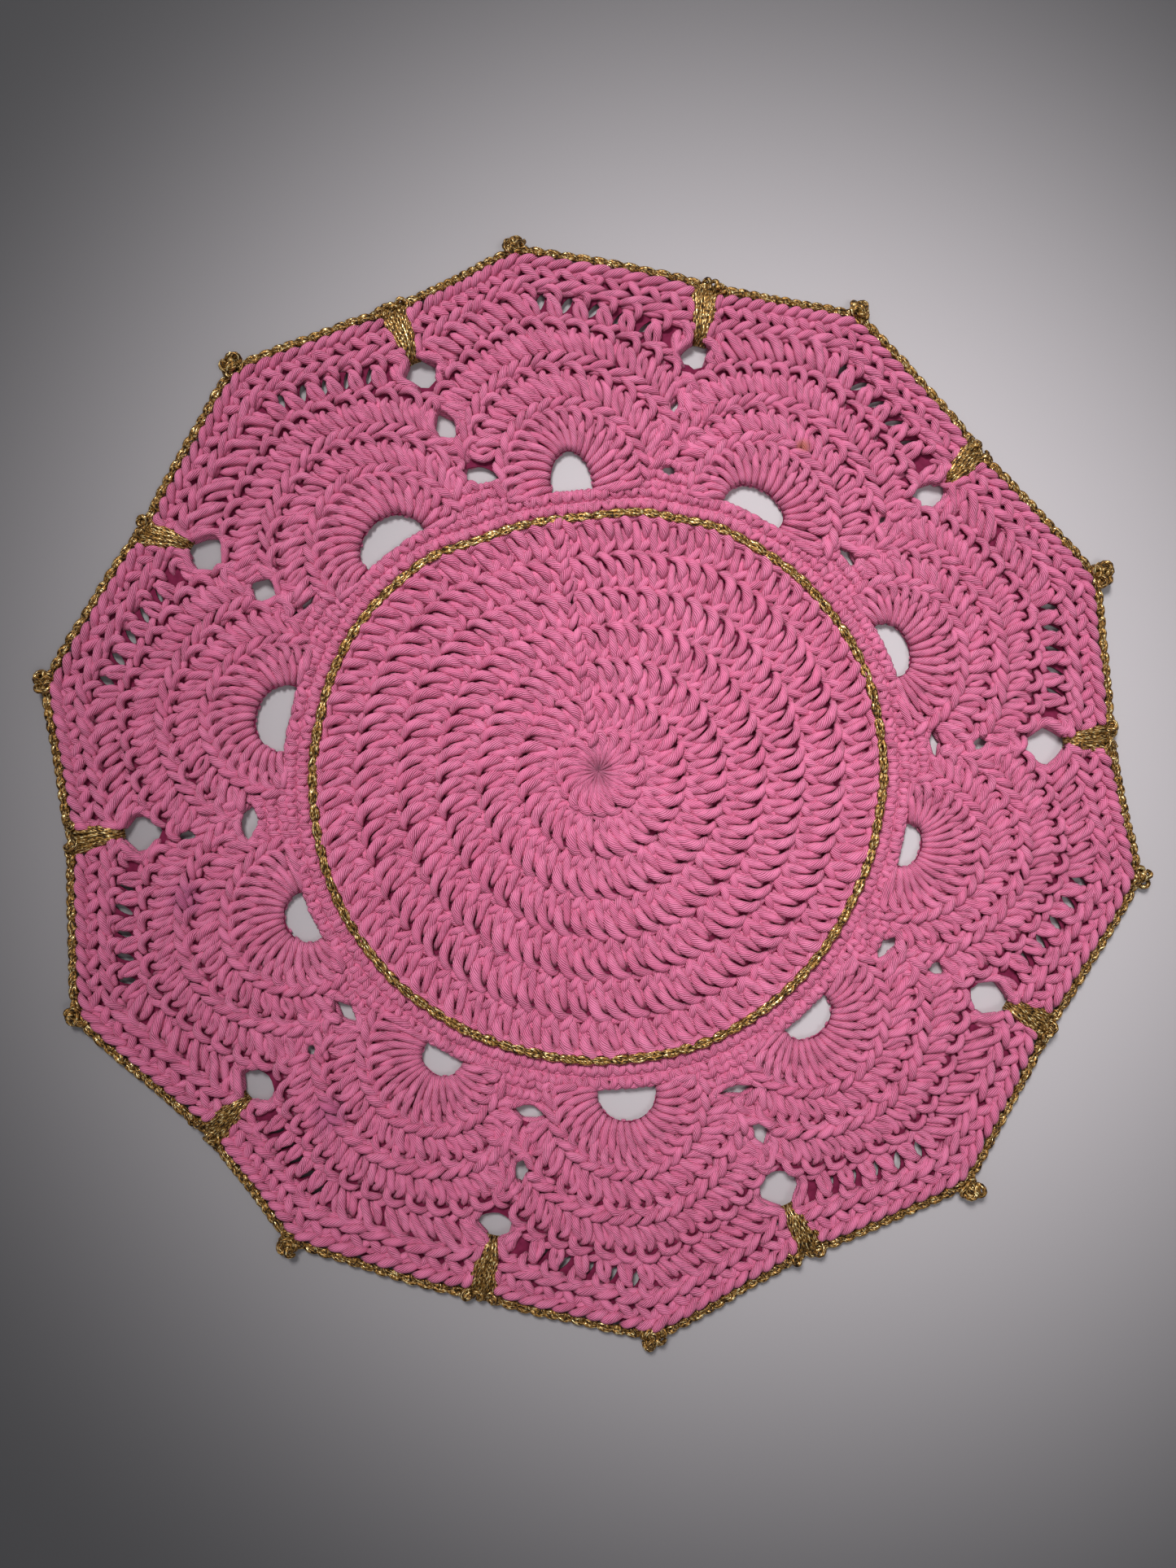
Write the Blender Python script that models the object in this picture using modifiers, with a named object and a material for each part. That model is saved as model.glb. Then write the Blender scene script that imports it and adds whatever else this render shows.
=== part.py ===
"""Round crochet placemat, lying flat.

The pink mat is worked in one piece: a disc of seven rounds from the centre, a narrow band
outside it, and ten scallops whose rows turn about an arched opening. A gold chain lies on
the edge of the disc. A second gold yarn goes once round the rim, as a chain with a fan of
long stitches in each valley and a small knot on each tip.

Sizes are millimetres until the last step of each piece. +Z is up and the underside is z = 0.
The mat is first drawn even, with ten like scallops, and then laid as unevenly as the real one.
"""

import math
from typing import NamedTuple

import bmesh
import bpy
from mathutils import Matrix, Vector

MM = 0.001
WELD = 0.00001
CUT_WELD = 0.00000001

# How far the cutters reach below and above the mat, past its rim and into a gap
CUT_LOW = -2.0
CUT_HIGH = 8.0
PAST_RIM = 4.0
NOTCH_LAP = 0.8

# Pink mat, drawn even
SCALLOP_COUNT = 10
TIP_REACH = 174.7
NOTCH_REACH = 147.5
ROUNDS = 7
ROUND_WIDE = 12.6
RING_REACH = 90.0
RING_BED_WIDE = 3.5
BAND_REACH = 96.2
BAND_START = 94.6
ARCH_REACH = 101.4
ARCH_HOLE = 7.6
FIRST_VALLEY_DEG = 4.8
GABLE_SHARE = 0.060
GABLE_TURN_DEG = 43.0
GABLE_START = 30.0
CENTRE_OFFSET = (0.1, 3.5)

# Heights of the pink fabric
FABRIC_HIGH = 4.5
GROOVE_HIGH = 3.5
ROPE_HIGH = 5.1
ROPE_WIDE = 2.9
ROUND_RISE = 0.3
ROUND_FALL = 0.2
ROUND_CROWN = 0.2
BED_WALL = 1.0
BED_HIGH = 2.6
RIM_HIGH = 3.7

# Gold yarn
RING_YARN = 2.6
CHAIN_YARN = 2.4
FAN_TIP_WIDE = 3.6
FAN_EDGE_WIDE = 10.5
FAN_RIBS = 7
FAN_GROOVE_SHARE = 0.74
FAN_TIP_HIGH = 4.4
FAN_EDGE_HIGH = 2.8
KNOT_WIDE = 6.2
KNOT_HIGH = 4.4
PART_GAP = 0.32
FLOOR_GAP = 0.1

# How finely the round shapes are drawn
SCREW_STEPS_DISC = 48
SCREW_STEPS_SCALLOP = 32
RING_STEPS = 96
KNOT_SEGMENTS = 8
KNOT_RINGS = 5
GAP_CORNERS = 8
GAP_CORNER_REACH = 0.86
SHARP_DEG = 35.0

PINK = (0.477, 0.116, 0.216, 1.0)
GOLD = (0.52, 0.34, 0.16, 1.0)


class Row(NamedTuple):
    """One row of a scallop: where it ends, and how high its middle and its outer line stand."""

    reach: float
    body: float
    line: float


SCALLOP_ROWS = (
    Row(25.8, 4.3, ROPE_HIGH),
    Row(39.1, 4.3, ROPE_HIGH),
    Row(50.9, 4.5, GROOVE_HIGH),
    Row(63.9, 4.0, ROPE_HIGH),
    Row(73.1, 4.5, RIM_HIGH),
)


class Gap(NamedTuple):
    """An open place between two scallops: its middle's reach, and its size."""

    reach: float
    high: float
    wide: float


class Valley(NamedTuple):
    """Where two scallops meet, as it lies on the real mat."""

    turn_deg: float
    ring: float
    edge: float
    outer: Gap
    middle: Gap
    inner: Gap

    @property
    def notch(self):
        """The reach at which the gold fan starts, at the outer end of the outer gap."""
        return self.outer.reach + self.outer.high / 2.0


class Scallop(NamedTuple):
    """One scallop as it lies on the real mat."""

    tip_deg: float
    tip: float
    knot: float
    ring: float
    arch_deg: float
    arch_high: float
    arch_wide: float


VALLEYS = (
    Valley(4.8, 91.9, 168.0, Gap(143.6, 10.4, 10.3), Gap(124.5, 6.0, 6.5), Gap(110.0, 4.6, 8.5)),
    Valley(40.6, 92.6, 165.9, Gap(143.5, 10.0, 7.5), Gap(123.0, 5.0, 5.0), Gap(108.9, 4.6, 6.0)),
    Valley(76.9, 88.3, 166.6, Gap(142.7, 7.0, 8.4), Gap(122.7, 4.4, 4.4), Gap(107.0, 4.2, 4.6)),
    Valley(113.2, 86.0, 167.8, Gap(143.5, 7.4, 9.6), Gap(125.0, 8.6, 7.0), Gap(105.2, 6.4, 9.6)),
    Valley(150.2, 91.4, 167.6, Gap(144.4, 11.2, 10.8), Gap(123.3, 7.8, 7.2), Gap(107.9, 4.2, 6.0)),
    Valley(186.4, 90.4, 168.8, Gap(144.8, 9.6, 10.6), Gap(127.5, 5.0, 5.0), Gap(109.2, 4.4, 7.0)),
    Valley(221.8, 90.0, 166.0, Gap(144.1, 6.4, 8.0), Gap(122.5, 5.0, 5.0), Gap(107.8, 4.8, 6.0)),
    Valley(256.6, 88.1, 166.6, Gap(144.4, 6.6, 7.4), Gap(123.1, 5.2, 4.6), Gap(108.0, 6.0, 9.0)),
    Valley(293.6, 89.4, 164.1, Gap(140.8, 8.0, 9.0), Gap(124.0, 5.0, 5.0), Gap(105.2, 5.0, 9.0)),
    Valley(331.0, 89.5, 165.4, Gap(141.5, 7.4, 7.0), Gap(123.8, 5.0, 5.0), Gap(106.8, 4.8, 6.0)),
)

SCALLOPS = (
    Scallop(22.4, 174.7, 181.6, 93.2, 24.7, 10.3, 16.3),
    Scallop(60.9, 173.8, 180.2, 91.0, 60.7, 11.5, 18.8),
    Scallop(98.8, 174.4, 180.4, 85.2, 95.0, 15.1, 12.6),
    Scallop(131.4, 176.5, 182.2, 89.9, 130.6, 12.9, 20.8),
    Scallop(170.0, 176.9, 182.0, 90.6, 168.7, 13.5, 19.8),
    Scallop(204.2, 178.6, 183.7, 90.5, 205.2, 11.1, 14.7),
    Scallop(236.4, 172.2, 177.8, 89.0, 240.7, 10.5, 12.1),
    Scallop(275.8, 174.4, 179.5, 88.2, 275.3, 13.1, 17.1),
    Scallop(312.6, 172.5, 179.2, 89.5, 311.8, 10.9, 15.4),
    Scallop(350.0, 176.1, 181.0, 90.4, 348.6, 8.8, 13.0),
)

CELL_DEG = 360.0 / SCALLOP_COUNT
HALF_CELL_DEG = CELL_DEG / 2.0
RIM = SCALLOP_ROWS[-1].reach
CHAIN_REACH = RIM + PART_GAP + CHAIN_YARN / 2.0
ARCH_HIGH = ARCH_REACH + ARCH_HOLE - BAND_REACH


def polar(reach, turn_deg):
    """A flat point at a reach and a turn from +X."""
    turn = math.radians(turn_deg)
    return reach * math.cos(turn), reach * math.sin(turn)


def ease(low, high, value):
    """0 below low, 1 above high, and a smooth change between."""
    share = min(max((value - low) / (high - low), 0.0), 1.0)
    return share * share * (3.0 - 2.0 * share)


def mix(first, second, share):
    """The value a share of the way from first to second."""
    return first + (second - first) * share


def valley_turn(index):
    """The even turn of a valley."""
    return FIRST_VALLEY_DEG + index * CELL_DEG


def tip_turn(index):
    """The even turn of a tip."""
    return valley_turn(index) + HALF_CELL_DEG


def around(turn_deg, at_valleys, at_tips):
    """A value that changes smoothly round the mat, given at every valley and tip."""
    place = ((turn_deg - FIRST_VALLEY_DEG) / HALF_CELL_DEG) % (2 * SCALLOP_COUNT)
    step = int(place)
    values = [value for pair in zip(at_valleys, at_tips) for value in pair]
    start = values[step % len(values)]
    end = values[(step + 1) % len(values)]
    return mix(start, end, ease(0.0, 1.0, place - step))


def chain_valley_reach():
    """The even reach at which the chains of two neighbouring scallops meet."""
    side = ARCH_REACH * math.sin(math.radians(HALF_CELL_DEG))
    ahead = ARCH_REACH * math.cos(math.radians(HALF_CELL_DEG))
    return ahead + math.sqrt(CHAIN_REACH ** 2 - side ** 2)


EDGE_REACH = chain_valley_reach() + CHAIN_YARN / 2.0
VALLEY_SHIFTS = [valley.turn_deg - valley_turn(i) for i, valley in enumerate(VALLEYS)]
TIP_SHIFTS = [scallop.tip_deg - tip_turn(i) for i, scallop in enumerate(SCALLOPS)]
ARCH_SHIFTS = [scallop.arch_deg - tip_turn(i) for i, scallop in enumerate(SCALLOPS)]
VALLEY_RINGS = [valley.ring / RING_REACH for valley in VALLEYS]
TIP_RINGS = [scallop.ring / RING_REACH for scallop in SCALLOPS]
NOTCH_SCALES = [valley.notch / NOTCH_REACH for valley in VALLEYS]
EDGE_SCALES = [valley.edge / EDGE_REACH for valley in VALLEYS]
TIP_SCALES = [scallop.tip / TIP_REACH for scallop in SCALLOPS]


def shape_scallop(x, y):
    """Give the even mat's scallops their gables, and each arched opening its own size."""
    turn = math.degrees(math.atan2(y, x))
    index = int(((turn - FIRST_VALLEY_DEG) % 360.0) / CELL_DEG) % SCALLOP_COUNT
    scallop = SCALLOPS[index]
    out = Vector(polar(1.0, tip_turn(index)))
    side = Vector((-out.y, out.x))
    from_arch = Vector((x, y)) - out * ARCH_REACH
    reach = from_arch.length
    if reach < WELD:
        return x, y
    off_axis = math.degrees(math.atan2(abs(from_arch.dot(side)), from_arch.dot(out)))
    bend = math.sin(math.pi * min(off_axis / GABLE_TURN_DEG, 1.0))
    gable = GABLE_SHARE * bend * ease(GABLE_START, RIM, reach)
    fade = 1.0 - ease(ARCH_HOLE, SCALLOP_ROWS[0].reach, reach)
    ahead = max(from_arch.dot(out) / reach, 0.0) * (scallop.arch_high - ARCH_HIGH)
    across = from_arch.dot(side) / reach * (scallop.arch_wide / 2.0 - ARCH_HOLE)
    moved = out * ARCH_REACH + from_arch * (1.0 - gable) + (out * ahead + side * across) * fade
    return moved.x, moved.y


def lay(x, y):
    """Where a point of the even mat lies on the real, uneven one."""
    x, y = shape_scallop(x, y)
    reach = math.hypot(x, y)
    turn = math.degrees(math.atan2(y, x))
    inside = min(reach / RING_REACH, 1.0) ** 2
    ring_scale = around(turn, VALLEY_RINGS, TIP_RINGS)
    notch_scale = around(turn, NOTCH_SCALES, TIP_SCALES)
    edge_scale = around(turn, EDGE_SCALES, TIP_SCALES)
    rim_scale = mix(notch_scale, edge_scale, ease(NOTCH_REACH, EDGE_REACH, reach))
    scale = mix(ring_scale, rim_scale, ease(RING_REACH, NOTCH_REACH, reach))
    scale = mix(1.0, scale, inside)
    arch_shift = around(turn, VALLEY_SHIFTS, ARCH_SHIFTS)
    tip_shift = around(turn, VALLEY_SHIFTS, TIP_SHIFTS)
    shift = mix(arch_shift, tip_shift, ease(ARCH_REACH, TIP_REACH, reach)) * inside
    laid_x, laid_y = polar(reach * scale, turn + shift)
    return laid_x + CENTRE_OFFSET[0] * (1.0 - inside), laid_y + CENTRE_OFFSET[1] * (1.0 - inside)


def new_collection(name):
    """A fresh collection in the scene."""
    collection = bpy.data.collections.new(name)
    bpy.context.scene.collection.children.link(collection)
    return collection


def new_object(name, data, collection):
    """A fresh object in a collection."""
    thing = bpy.data.objects.new(name, data)
    collection.objects.link(thing)
    return thing


def new_material(name, colour, roughness, metallic):
    """A Principled material of one finish."""
    material = bpy.data.materials.new(name)
    material.use_nodes = True
    shader = material.node_tree.nodes["Principled BSDF"]
    shader.inputs["Base Color"].default_value = colour
    shader.inputs["Roughness"].default_value = roughness
    shader.inputs["Metallic"].default_value = metallic
    return material


def baked(thing, weld):
    """Swap an object for a plain mesh of its evaluated shape, points nearer than weld joined."""
    graph = bpy.context.evaluated_depsgraph_get()
    mesh = bpy.data.meshes.new_from_object(thing.evaluated_get(graph))
    name = thing.name
    collection = thing.users_collection[0]
    bpy.data.objects.remove(thing)
    shape = bmesh.new()
    shape.from_mesh(mesh)
    bmesh.ops.remove_doubles(shape, verts=shape.verts, dist=weld)
    shape.to_mesh(mesh)
    shape.free()
    return new_object(name, mesh, collection)


def turned(name, profile, steps, closed, collection):
    """A solid of revolution about Z from (reach, height) points in millimetres."""
    points = [(reach * MM, 0.0, height * MM) for reach, height in profile]
    edges = [(i, i + 1) for i in range(len(points) - 1)]
    if closed:
        edges.append((len(points) - 1, 0))
    mesh = bpy.data.meshes.new(name)
    mesh.from_pydata(points, edges, [])
    thing = new_object(name, mesh, collection)
    screw = thing.modifiers.new("Screw", "SCREW")
    screw.steps = steps
    screw.render_steps = steps
    screw.use_merge_vertices = True
    screw.merge_threshold = WELD
    return baked(thing, WELD)


def lay_mesh(mesh):
    """Move every point of a mesh from the even mat to the real one."""
    for vertex in mesh.vertices:
        x, y = lay(vertex.co.x / MM, vertex.co.y / MM)
        vertex.co.x = x * MM
        vertex.co.y = y * MM


def combine(thing, other, operation):
    """Cut or join a solid with another, which is then removed."""
    boolean = thing.modifiers.new(operation.title(), "BOOLEAN")
    boolean.operation = operation
    boolean.object = other
    result = baked(thing, CUT_WELD)
    bpy.data.objects.remove(other)
    return result


def disc_profile():
    """Section of the disc and band, from the centre out, down the edge and back."""
    profile = [(0.0, GROOVE_HIGH)]
    for number in range(1, ROUNDS + 1):
        outer = number * ROUND_WIDE
        profile.append((outer - (1.0 - ROUND_RISE) * ROUND_WIDE, FABRIC_HIGH))
        profile.append((outer - ROUND_FALL * ROUND_WIDE, FABRIC_HIGH + ROUND_CROWN))
        profile.append((outer, GROOVE_HIGH))
    bed_start = RING_REACH - RING_BED_WIDE / 2.0
    bed_end = RING_REACH + RING_BED_WIDE / 2.0
    profile[-1] = (bed_start, BED_HIGH)
    profile += [(bed_end, BED_HIGH), (bed_end + BED_WALL, FABRIC_HIGH), (BAND_REACH, FABRIC_HIGH)]
    profile += [(BAND_REACH, 0.0), (0.0, 0.0)]
    return profile


def scallop_profile():
    """Section of the rows about an arched opening, from its edge out, down and back."""
    profile = [(ARCH_HOLE, RIM_HIGH)]
    start = ARCH_HOLE
    for row in SCALLOP_ROWS:
        if row.line == ROPE_HIGH:
            profile.append((start + ROPE_WIDE, row.body))
            profile.append((row.reach - ROPE_WIDE, row.body))
        else:
            profile.append(((start + row.reach) / 2.0, row.body))
        profile.append((row.reach, row.line))
        start = row.reach
    profile += [(RIM, 0.0), (ARCH_HOLE, 0.0)]
    return profile


def trim(shape, point, normal):
    """Cut a bmesh by a plane and drop the side that the normal points to."""
    parts = shape.verts[:] + shape.edges[:] + shape.faces[:]
    bmesh.ops.bisect_plane(shape, geom=parts, dist=WELD / 10, plane_co=point, plane_no=normal,
                           clear_outer=True)


def half_scallop(collection):
    """The rows of half a scallop, open where the other half and the neighbour join on."""
    thing = turned("half_scallop", scallop_profile(), SCREW_STEPS_SCALLOP, True, collection)
    shape = bmesh.new()
    shape.from_mesh(thing.data)
    bpy.data.objects.remove(thing)
    bmesh.ops.translate(shape, vec=(ARCH_REACH * MM, 0.0, 0.0), verts=shape.verts)
    edge = math.radians(HALF_CELL_DEG)
    middle = polar(1.0, HALF_CELL_DEG / 2.0)
    trim(shape, (0.0, 0.0, 0.0), (0.0, -1.0, 0.0))
    trim(shape, (0.0, 0.0, 0.0), (-math.sin(edge), math.cos(edge), 0.0))
    inner = Vector((*middle, 0.0)) * (BAND_START * MM)
    trim(shape, inner, (-middle[0], -middle[1], 0.0))
    half = bpy.data.meshes.new("half_scallop")
    shape.to_mesh(half)
    shape.free()
    return half


def scallop_ring(collection):
    """All ten scallops as one solid, laid as unevenly as the real ones."""
    half = half_scallop(collection)
    flipped = Matrix.Scale(-1.0, 4, (0.0, 1.0, 0.0))
    shape = bmesh.new()
    for index in range(SCALLOP_COUNT):
        turn = Matrix.Rotation(math.radians(tip_turn(index)), 4, "Z")
        for place in (turn, turn @ flipped):
            copy = half.copy()
            copy.transform(place)
            if place.is_negative:
                copy.flip_normals()
            shape.from_mesh(copy)
            bpy.data.meshes.remove(copy)
    bmesh.ops.remove_doubles(shape, verts=shape.verts, dist=2.0 * WELD)
    open_edges = [edge for edge in shape.edges if edge.is_boundary]
    walls = bmesh.ops.holes_fill(shape, edges=open_edges, sides=0)["faces"]
    bmesh.ops.triangulate(shape, faces=walls)
    scallops = bpy.data.meshes.new("scallops")
    shape.to_mesh(scallops)
    shape.free()
    lay_mesh(scallops)
    return new_object("scallops", scallops, collection)


def add_prism(shape, outline):
    """Add an upright prism that reaches below and above the mat."""
    bottom = [shape.verts.new((x * MM, y * MM, CUT_LOW * MM)) for x, y in outline]
    face = shape.faces.new(bottom)
    grown = bmesh.ops.extrude_face_region(shape, geom=[face])
    top = [part for part in grown["geom"] if isinstance(part, bmesh.types.BMVert)]
    bmesh.ops.translate(shape, vec=(0.0, 0.0, (CUT_HIGH - CUT_LOW) * MM), verts=top)


def make_cutter(name, outlines, collection):
    """One cutter of an upright prism on each outline."""
    shape = bmesh.new()
    for outline in outlines:
        add_prism(shape, outline)
    bmesh.ops.recalc_face_normals(shape, faces=shape.faces)
    mesh = bpy.data.meshes.new(name)
    shape.to_mesh(mesh)
    shape.free()
    return new_object(name, mesh, collection)


def gap_outline(turn_deg, gap):
    """A rounded diamond for an open place between two scallops."""
    out = Vector(polar(1.0, turn_deg))
    side = Vector((-out.y, out.x))
    outline = []
    for step in range(GAP_CORNERS):
        angle = step * math.tau / GAP_CORNERS
        bulge = 1.0 if step % 2 == 0 else GAP_CORNER_REACH
        point = out * (gap.reach + bulge * gap.high / 2.0 * math.cos(angle))
        point = point + side * (bulge * gap.wide / 2.0 * math.sin(angle))
        outline.append((point.x, point.y))
    return outline


def wedge_outline(turn_deg, start, end, start_wide, end_wide):
    """A wedge that opens outwards along a turn."""
    out = Vector(polar(1.0, turn_deg))
    side = Vector((-out.y, out.x))
    corners = ((start, -start_wide), (end, -end_wide), (end, end_wide), (start, start_wide))
    points = [out * reach + side * (wide / 2.0) for reach, wide in corners]
    return [(point.x, point.y) for point in points]


def gap_outlines():
    """The open places between the scallops."""
    outlines = []
    for valley in VALLEYS:
        for gap in (valley.outer, valley.middle, valley.inner):
            outlines.append(gap_outline(valley.turn_deg, gap))
    return outlines


def notch_outlines():
    """The notches in the valleys, each a little wider than the gold fan in it."""
    outlines = []
    for valley in VALLEYS:
        spread = (FAN_EDGE_WIDE - FAN_TIP_WIDE) / (valley.edge - valley.notch)
        end = valley.edge + PAST_RIM
        start = valley.notch - NOTCH_LAP
        start_wide = FAN_TIP_WIDE + 2.0 * PART_GAP
        end_wide = start_wide + spread * (end - start)
        outlines.append(wedge_outline(valley.turn_deg, start, end, start_wide, end_wide))
    return outlines


def make_mat(parts, cutters, material):
    """The pink mat as one solid."""
    disc = turned("mat", disc_profile(), SCREW_STEPS_DISC, False, parts)
    lay_mesh(disc.data)
    mat = combine(disc, scallop_ring(cutters), "UNION")
    mat = combine(mat, make_cutter("notches", notch_outlines(), cutters), "DIFFERENCE")
    mat = combine(mat, make_cutter("gaps", gap_outlines(), cutters), "DIFFERENCE")
    mat.data.materials.append(material)


def yarn_ring(name, points, thick, collection):
    """A closed tube of yarn through points in millimetres."""
    curve = bpy.data.curves.new(name, "CURVE")
    curve.dimensions = "3D"
    curve.bevel_depth = thick / 2.0 * MM
    curve.bevel_resolution = 1
    spline = curve.splines.new("POLY")
    spline.points.add(len(points) - 1)
    for target, (x, y, z) in zip(spline.points, points):
        target.co = (x * MM, y * MM, z * MM, 1.0)
    spline.use_cyclic_u = True
    return baked(new_object(name, curve, collection), WELD)


def make_ring(parts, material):
    """The gold chain that lies on the edge of the disc."""
    height = BED_HIGH + PART_GAP + RING_YARN / 2.0
    points = []
    for step in range(RING_STEPS):
        x, y = lay(*polar(RING_REACH, 360.0 * step / RING_STEPS))
        points.append((x, y, height))
    ring = yarn_ring("gold_ring", points, RING_YARN, parts)
    ring.data.materials.append(material)


def chain_points():
    """Where the gold chain runs round the rim, scallop after scallop."""
    step_deg = 180.0 / SCREW_STEPS_SCALLOP
    reach_steps = int(GABLE_TURN_DEG / step_deg)
    points = []
    height = CHAIN_YARN / 2.0 + FLOOR_GAP
    for index, valley in enumerate(VALLEYS):
        x, y = polar(valley.edge - CHAIN_YARN / 2.0, valley.turn_deg)
        points.append((x, y, height))
        axis = Vector(polar(ARCH_REACH, tip_turn(index)))
        for number in range(-reach_steps, reach_steps + 1):
            turn = tip_turn(index) + number * step_deg
            spot = axis + Vector(polar(CHAIN_REACH, turn))
            x, y = lay(spot.x, spot.y)
            points.append((x, y, height))
    return points


def fan_section():
    """The ribbed section across a fan of long stitches, one unit wide and one high."""
    section = [(-0.5, 0.0), (0.5, 0.0)]
    for rib in range(FAN_RIBS):
        right = 0.5 - rib / FAN_RIBS
        middle = right - 0.5 / FAN_RIBS
        section.append((right, FAN_GROOVE_SHARE))
        section.append((middle, 1.0))
    section.append((-0.5, FAN_GROOVE_SHARE))
    return section


def add_fan(shape, valley):
    """One fan of long stitches in a valley, narrow inside and wide at the rim."""
    out = Vector(polar(1.0, valley.turn_deg))
    side = Vector((-out.y, out.x))
    start = valley.notch + PART_GAP
    end = valley.edge - CHAIN_YARN / 2.0
    ends = ((start, FAN_TIP_WIDE, FAN_TIP_HIGH), (end, FAN_EDGE_WIDE, FAN_EDGE_HIGH))
    faces = []
    edges = []
    for reach, wide, high in ends:
        loop = []
        for across, up in fan_section():
            spot = out * reach + side * (across * wide)
            loop.append(shape.verts.new((spot.x * MM, spot.y * MM, up * high * MM)))
        faces.append(shape.faces.new(loop))
        edges += faces[-1].edges[:]
    faces += bmesh.ops.bridge_loops(shape, edges=edges)["faces"]
    bmesh.ops.recalc_face_normals(shape, faces=faces)


def add_knot(shape, scallop):
    """The small knot that stands out of the chain at a tip."""
    start = scallop.tip + PART_GAP + FLOOR_GAP
    deep = scallop.knot - start
    made = bmesh.ops.create_uvsphere(shape, u_segments=KNOT_SEGMENTS, v_segments=KNOT_RINGS,
                                     radius=0.5 * MM)
    bmesh.ops.scale(shape, vec=(deep, KNOT_WIDE, KNOT_HIGH), verts=made["verts"])
    x, y = polar(start + deep / 2.0, scallop.tip_deg)
    place = Matrix.Translation((x * MM, y * MM, (KNOT_HIGH / 2.0 + FLOOR_GAP) * MM))
    turn = Matrix.Rotation(math.radians(scallop.tip_deg), 4, "Z")
    bmesh.ops.transform(shape, matrix=place @ turn, verts=made["verts"])


def make_edging(parts, cutters, material):
    """The gold round on the rim: chain, fans and knots, all one yarn."""
    chain = yarn_ring("gold_edging", chain_points(), CHAIN_YARN, parts)
    shape = bmesh.new()
    for valley in VALLEYS:
        add_fan(shape, valley)
    for scallop in SCALLOPS:
        add_knot(shape, scallop)
    mesh = bpy.data.meshes.new("fans_and_knots")
    shape.to_mesh(mesh)
    shape.free()
    edging = combine(chain, new_object("fans_and_knots", mesh, cutters), "UNION")
    edging.data.materials.append(material)


def main():
    """Build the placemat."""
    for thing in list(bpy.data.objects):
        bpy.data.objects.remove(thing)
    parts = new_collection("placemat")
    cutters = new_collection("cutters")
    pink = new_material("pink_cotton", PINK, 0.85, 0.0)
    gold = new_material("gold_yarn", GOLD, 0.35, 0.8)
    make_mat(parts, cutters, pink)
    make_ring(parts, gold)
    make_edging(parts, cutters, gold)
    for thing in parts.objects:
        thing.data.shade_smooth()
        thing.data.set_sharp_from_angle(angle=math.radians(SHARP_DEG))


main()
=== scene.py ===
"""Looks of the round crochet placemat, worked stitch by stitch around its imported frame.

Every stitch is made of short strands of yarn. A strand is a smooth path through a few bends, which
are given as shares of one stitch, so that the same stitch serves every round. A round places its
stitches evenly, and the plan of the mat then lays them as unevenly as the real ones. Sizes are
millimetres until a mesh is made. +Z is up, and the table top is z = 0.
"""

import logging
import math
from dataclasses import dataclass
from enum import Enum
from typing import Callable

import bmesh
import bpy
import numpy as np
from mathutils import Matrix, Vector


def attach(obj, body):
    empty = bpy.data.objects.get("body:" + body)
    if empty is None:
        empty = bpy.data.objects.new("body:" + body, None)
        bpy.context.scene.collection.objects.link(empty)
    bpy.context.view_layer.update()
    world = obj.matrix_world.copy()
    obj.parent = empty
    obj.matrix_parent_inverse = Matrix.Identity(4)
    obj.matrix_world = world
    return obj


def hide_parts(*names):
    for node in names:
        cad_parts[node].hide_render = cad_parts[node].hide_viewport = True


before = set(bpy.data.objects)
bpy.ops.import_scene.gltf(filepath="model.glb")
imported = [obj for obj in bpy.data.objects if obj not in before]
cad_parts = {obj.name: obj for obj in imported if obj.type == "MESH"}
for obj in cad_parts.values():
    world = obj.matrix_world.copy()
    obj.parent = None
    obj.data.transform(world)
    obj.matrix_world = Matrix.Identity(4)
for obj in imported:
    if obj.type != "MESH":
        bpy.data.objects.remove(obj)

MM = 0.001
LOG = logging.getLogger("placemat")

# How strands part for a gold fan: from where to where it widens, half its width there, how hard
# they are pressed together, how many half widths away they still move, and how far across it.
FAN_LEAD = 1.5
FAN_FOOT = 0.5
FAN_HALF_WIDTHS = (0.0, 1.9, 4.2)
FAN_PRESS = 3.0
FAN_REACH = 1.5
FAN_ACROSS = 6.0

Place = Callable[[np.ndarray, np.ndarray], tuple[np.ndarray, np.ndarray]]


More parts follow.
